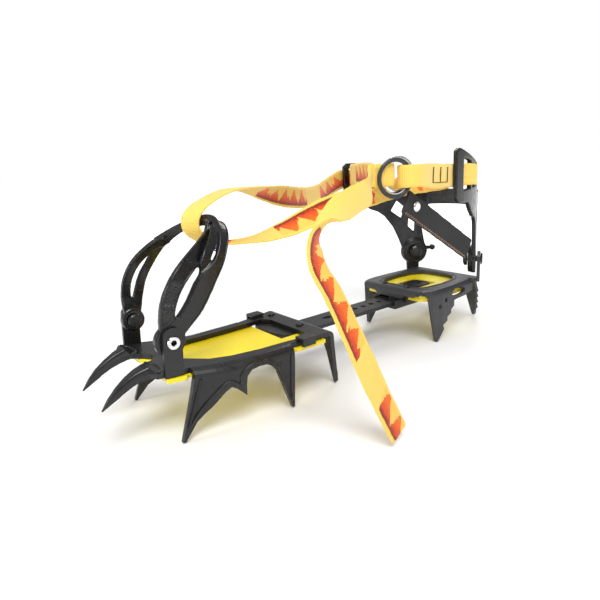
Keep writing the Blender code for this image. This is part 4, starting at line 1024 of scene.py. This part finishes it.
# Rows of a band, how far out its rails lie, and each rail's first and last row and share across
BAIL_RAILS = (
    (BAIL_FRONT_ARM, 1.5, ((1.0, 7.6, -0.8), (1.0, 7.6, 0.8))),
    (BAIL_OUTER_RIB, 1.4, ((1.1, 9.6, -0.8), (1.1, 9.6, 0.8))),
    (BAIL_FAR_RIB, 1.4, ((0.6, 4.4, 0.7),)),
)
RAIL_STEPS = 26
GRIP_START, GRIP_PITCH, GRIP_COUNT = 1.9, 0.21, 17  # of the raised bars, in rows
GRIP_OUT = 1.62
WING_ANGLE = math.radians(32.0)  # turn of the harness wings from the length, in plan
BOSS = (-201.0, 32.5, 58.3)
PEG_DISTANCES, PEG_HEAD, PEG_RISE, PEG_IN = (11.0, 13.5, 16.0), 17.2, 2.2, 1.4
PEG_PROFILE = [(0.6, -2.4), (1.9, -2.1), (2.5, -1.2), (2.5, 1.2), (1.9, 2.1), (0.6, 2.4)]
DIMPLE_PROFILE = [(4.0, 0.15), (3.6, -0.25), (2.7, -0.3), (2.6, -0.05), (2.6, 0.15)]
SOCKET_PROFILE = [(1.15, 0.0), (1.15, 0.35), (0.7, 0.4), (0.65, 0.1), (0.65, 0.0)]
HEEL_WINDOW = (
    (-142.3, 14.5), (-146, 20), (-152, 23), (-168, 24.5), (-186, 22.5), (-195, 16), (-197, 6),
)
GRIP_LINES = (-172.6, -171.0, -166.2, -164.6, -163.0)  # x of the lines across the lever
HOUSING_SCREWS = (-139.3, 12.0, HEEL_TOP + 1.28)


def outward(strip, t):
    """1 or -1: the side of a bail strip that faces away from the middle of the boot."""
    centre, _, _, up, _ = strip.frame(t)
    return 1 if up.y * centre.y + up.z * 40 > 0 else -1


def make_bail_detail():
    """Rails along the bail's bands, and short raised bars on its front arm."""
    where = (PLASTIC, "toe_bail", "toe_bail")
    lines = []
    for rows, rise, rails in BAIL_RAILS:
        strip = Strip(rows)
        out = outward(strip, 3.0) * rise
        for first, last, across in rails:
            step = (last - first) / RAIL_STEPS
            lines.append([strip.on(first + i * step, across, out) for i in range(RAIL_STEPS + 1)])
    beads("bail_rails", lines, 0.62, *where)
    strip = Strip(BAIL_FRONT_ARM)
    out = outward(strip, 3.0) * GRIP_OUT
    bars = []
    for i in range(GRIP_COUNT):
        t = GRIP_START + i * GRIP_PITCH
        lean = 0.05 if i % 2 else -0.05
        for across in (-0.45, 0.0, 0.45):
            start = strip.on(t - lean, across - 0.14, out)
            bars.append([start, strip.on(t + lean, across + 0.14, out)])
    beads("bail_grip", bars, 0.3, *where, smooth=False, sides=6)


def make_boss_detail(side, name):
    """Rings and a peg on one boss of the harness, and a dimple in its cap."""
    out = Vector((-math.sin(WING_ANGLE), side * math.cos(WING_ANGLE), 0))
    along = Vector((math.cos(WING_ANGLE), side * math.sin(WING_ANGLE), 0))
    centre = Vector((BOSS[0], side * BOSS[1], BOSS[2]))
    harness = (PLASTIC, "heel_harness", "heel_harness")
    bm = bmesh.new()
    for radius, bead in ((10.3, 0.55), (7.6, 0.4)):
        angles = [2 * math.pi * i / 12 for i in range(12)]
        ring = [(radius + bead * math.cos(a), -4.0 + bead * math.sin(a)) for a in angles]
        turned(bm, ring, centre, out, 64, hollow=True)
    add(f"boss_rings_{name}", bm, *harness, 60.0)
    bm = bmesh.new()
    shift = Vector((0, 0, PEG_RISE)) - out * PEG_IN
    tube(bm, [centre - along * distance + shift for distance in PEG_DISTANCES], (1.9, 1.5), 14)
    turned(bm, PEG_PROFILE, centre - along * PEG_HEAD + shift, out, 24)
    add(f"boss_peg_{name}", bm, *harness, 50.0)
    bm = bmesh.new()
    turned(bm, DIMPLE_PROFILE, centre - out * 8.45, out, 40)
    add(f"cap_dimple_{name}", bm, SATIN, "heel_section", f"heel_cap_{name}", 50.0)


def make_heel_detail():
    """Trim of the heel section: bosses, a bead round the window, lever grips and screw sockets."""
    make_boss_detail(1, "outer")
    make_boss_detail(-1, "inner")
    rim = []
    for x, y in (*HEEL_WINDOW, *((x, -y) for x, y in reversed(HEEL_WINDOW))):
        past = 1.6 if x > -150 else -1.2 if x < -190 else 0
        rim.append((x + past, y + math.copysign(1.8, y), HEEL_TOP + 0.02))
    beads("heel_rim_bead", [rim], 0.45, RIM, "heel_section", "heel_frame", loop=True)
    grips = [[(x, -6.5, 38.75), (x, 6.5, 38.75)] for x in GRIP_LINES]
    where = (STEEL, "adjuster_lever", "adjuster_lever")
    beads("lever_grips", grips, 0.35, *where, smooth=False)
    bm = bmesh.new()
    x, y, z = HOUSING_SCREWS
    for side in (1, -1):
        turned(bm, SOCKET_PROFILE, Vector((x, side * y, z)), (0, 0, 1), 6)
    add("screw_sockets", bm, STEEL, "heel_section", "heel_frame", 30.0)


make_camera()
make_studio()
finish_cad()
make_webbing()
make_rings()
make_tab()
make_embossing()
make_bail_detail()
make_heel_detail()
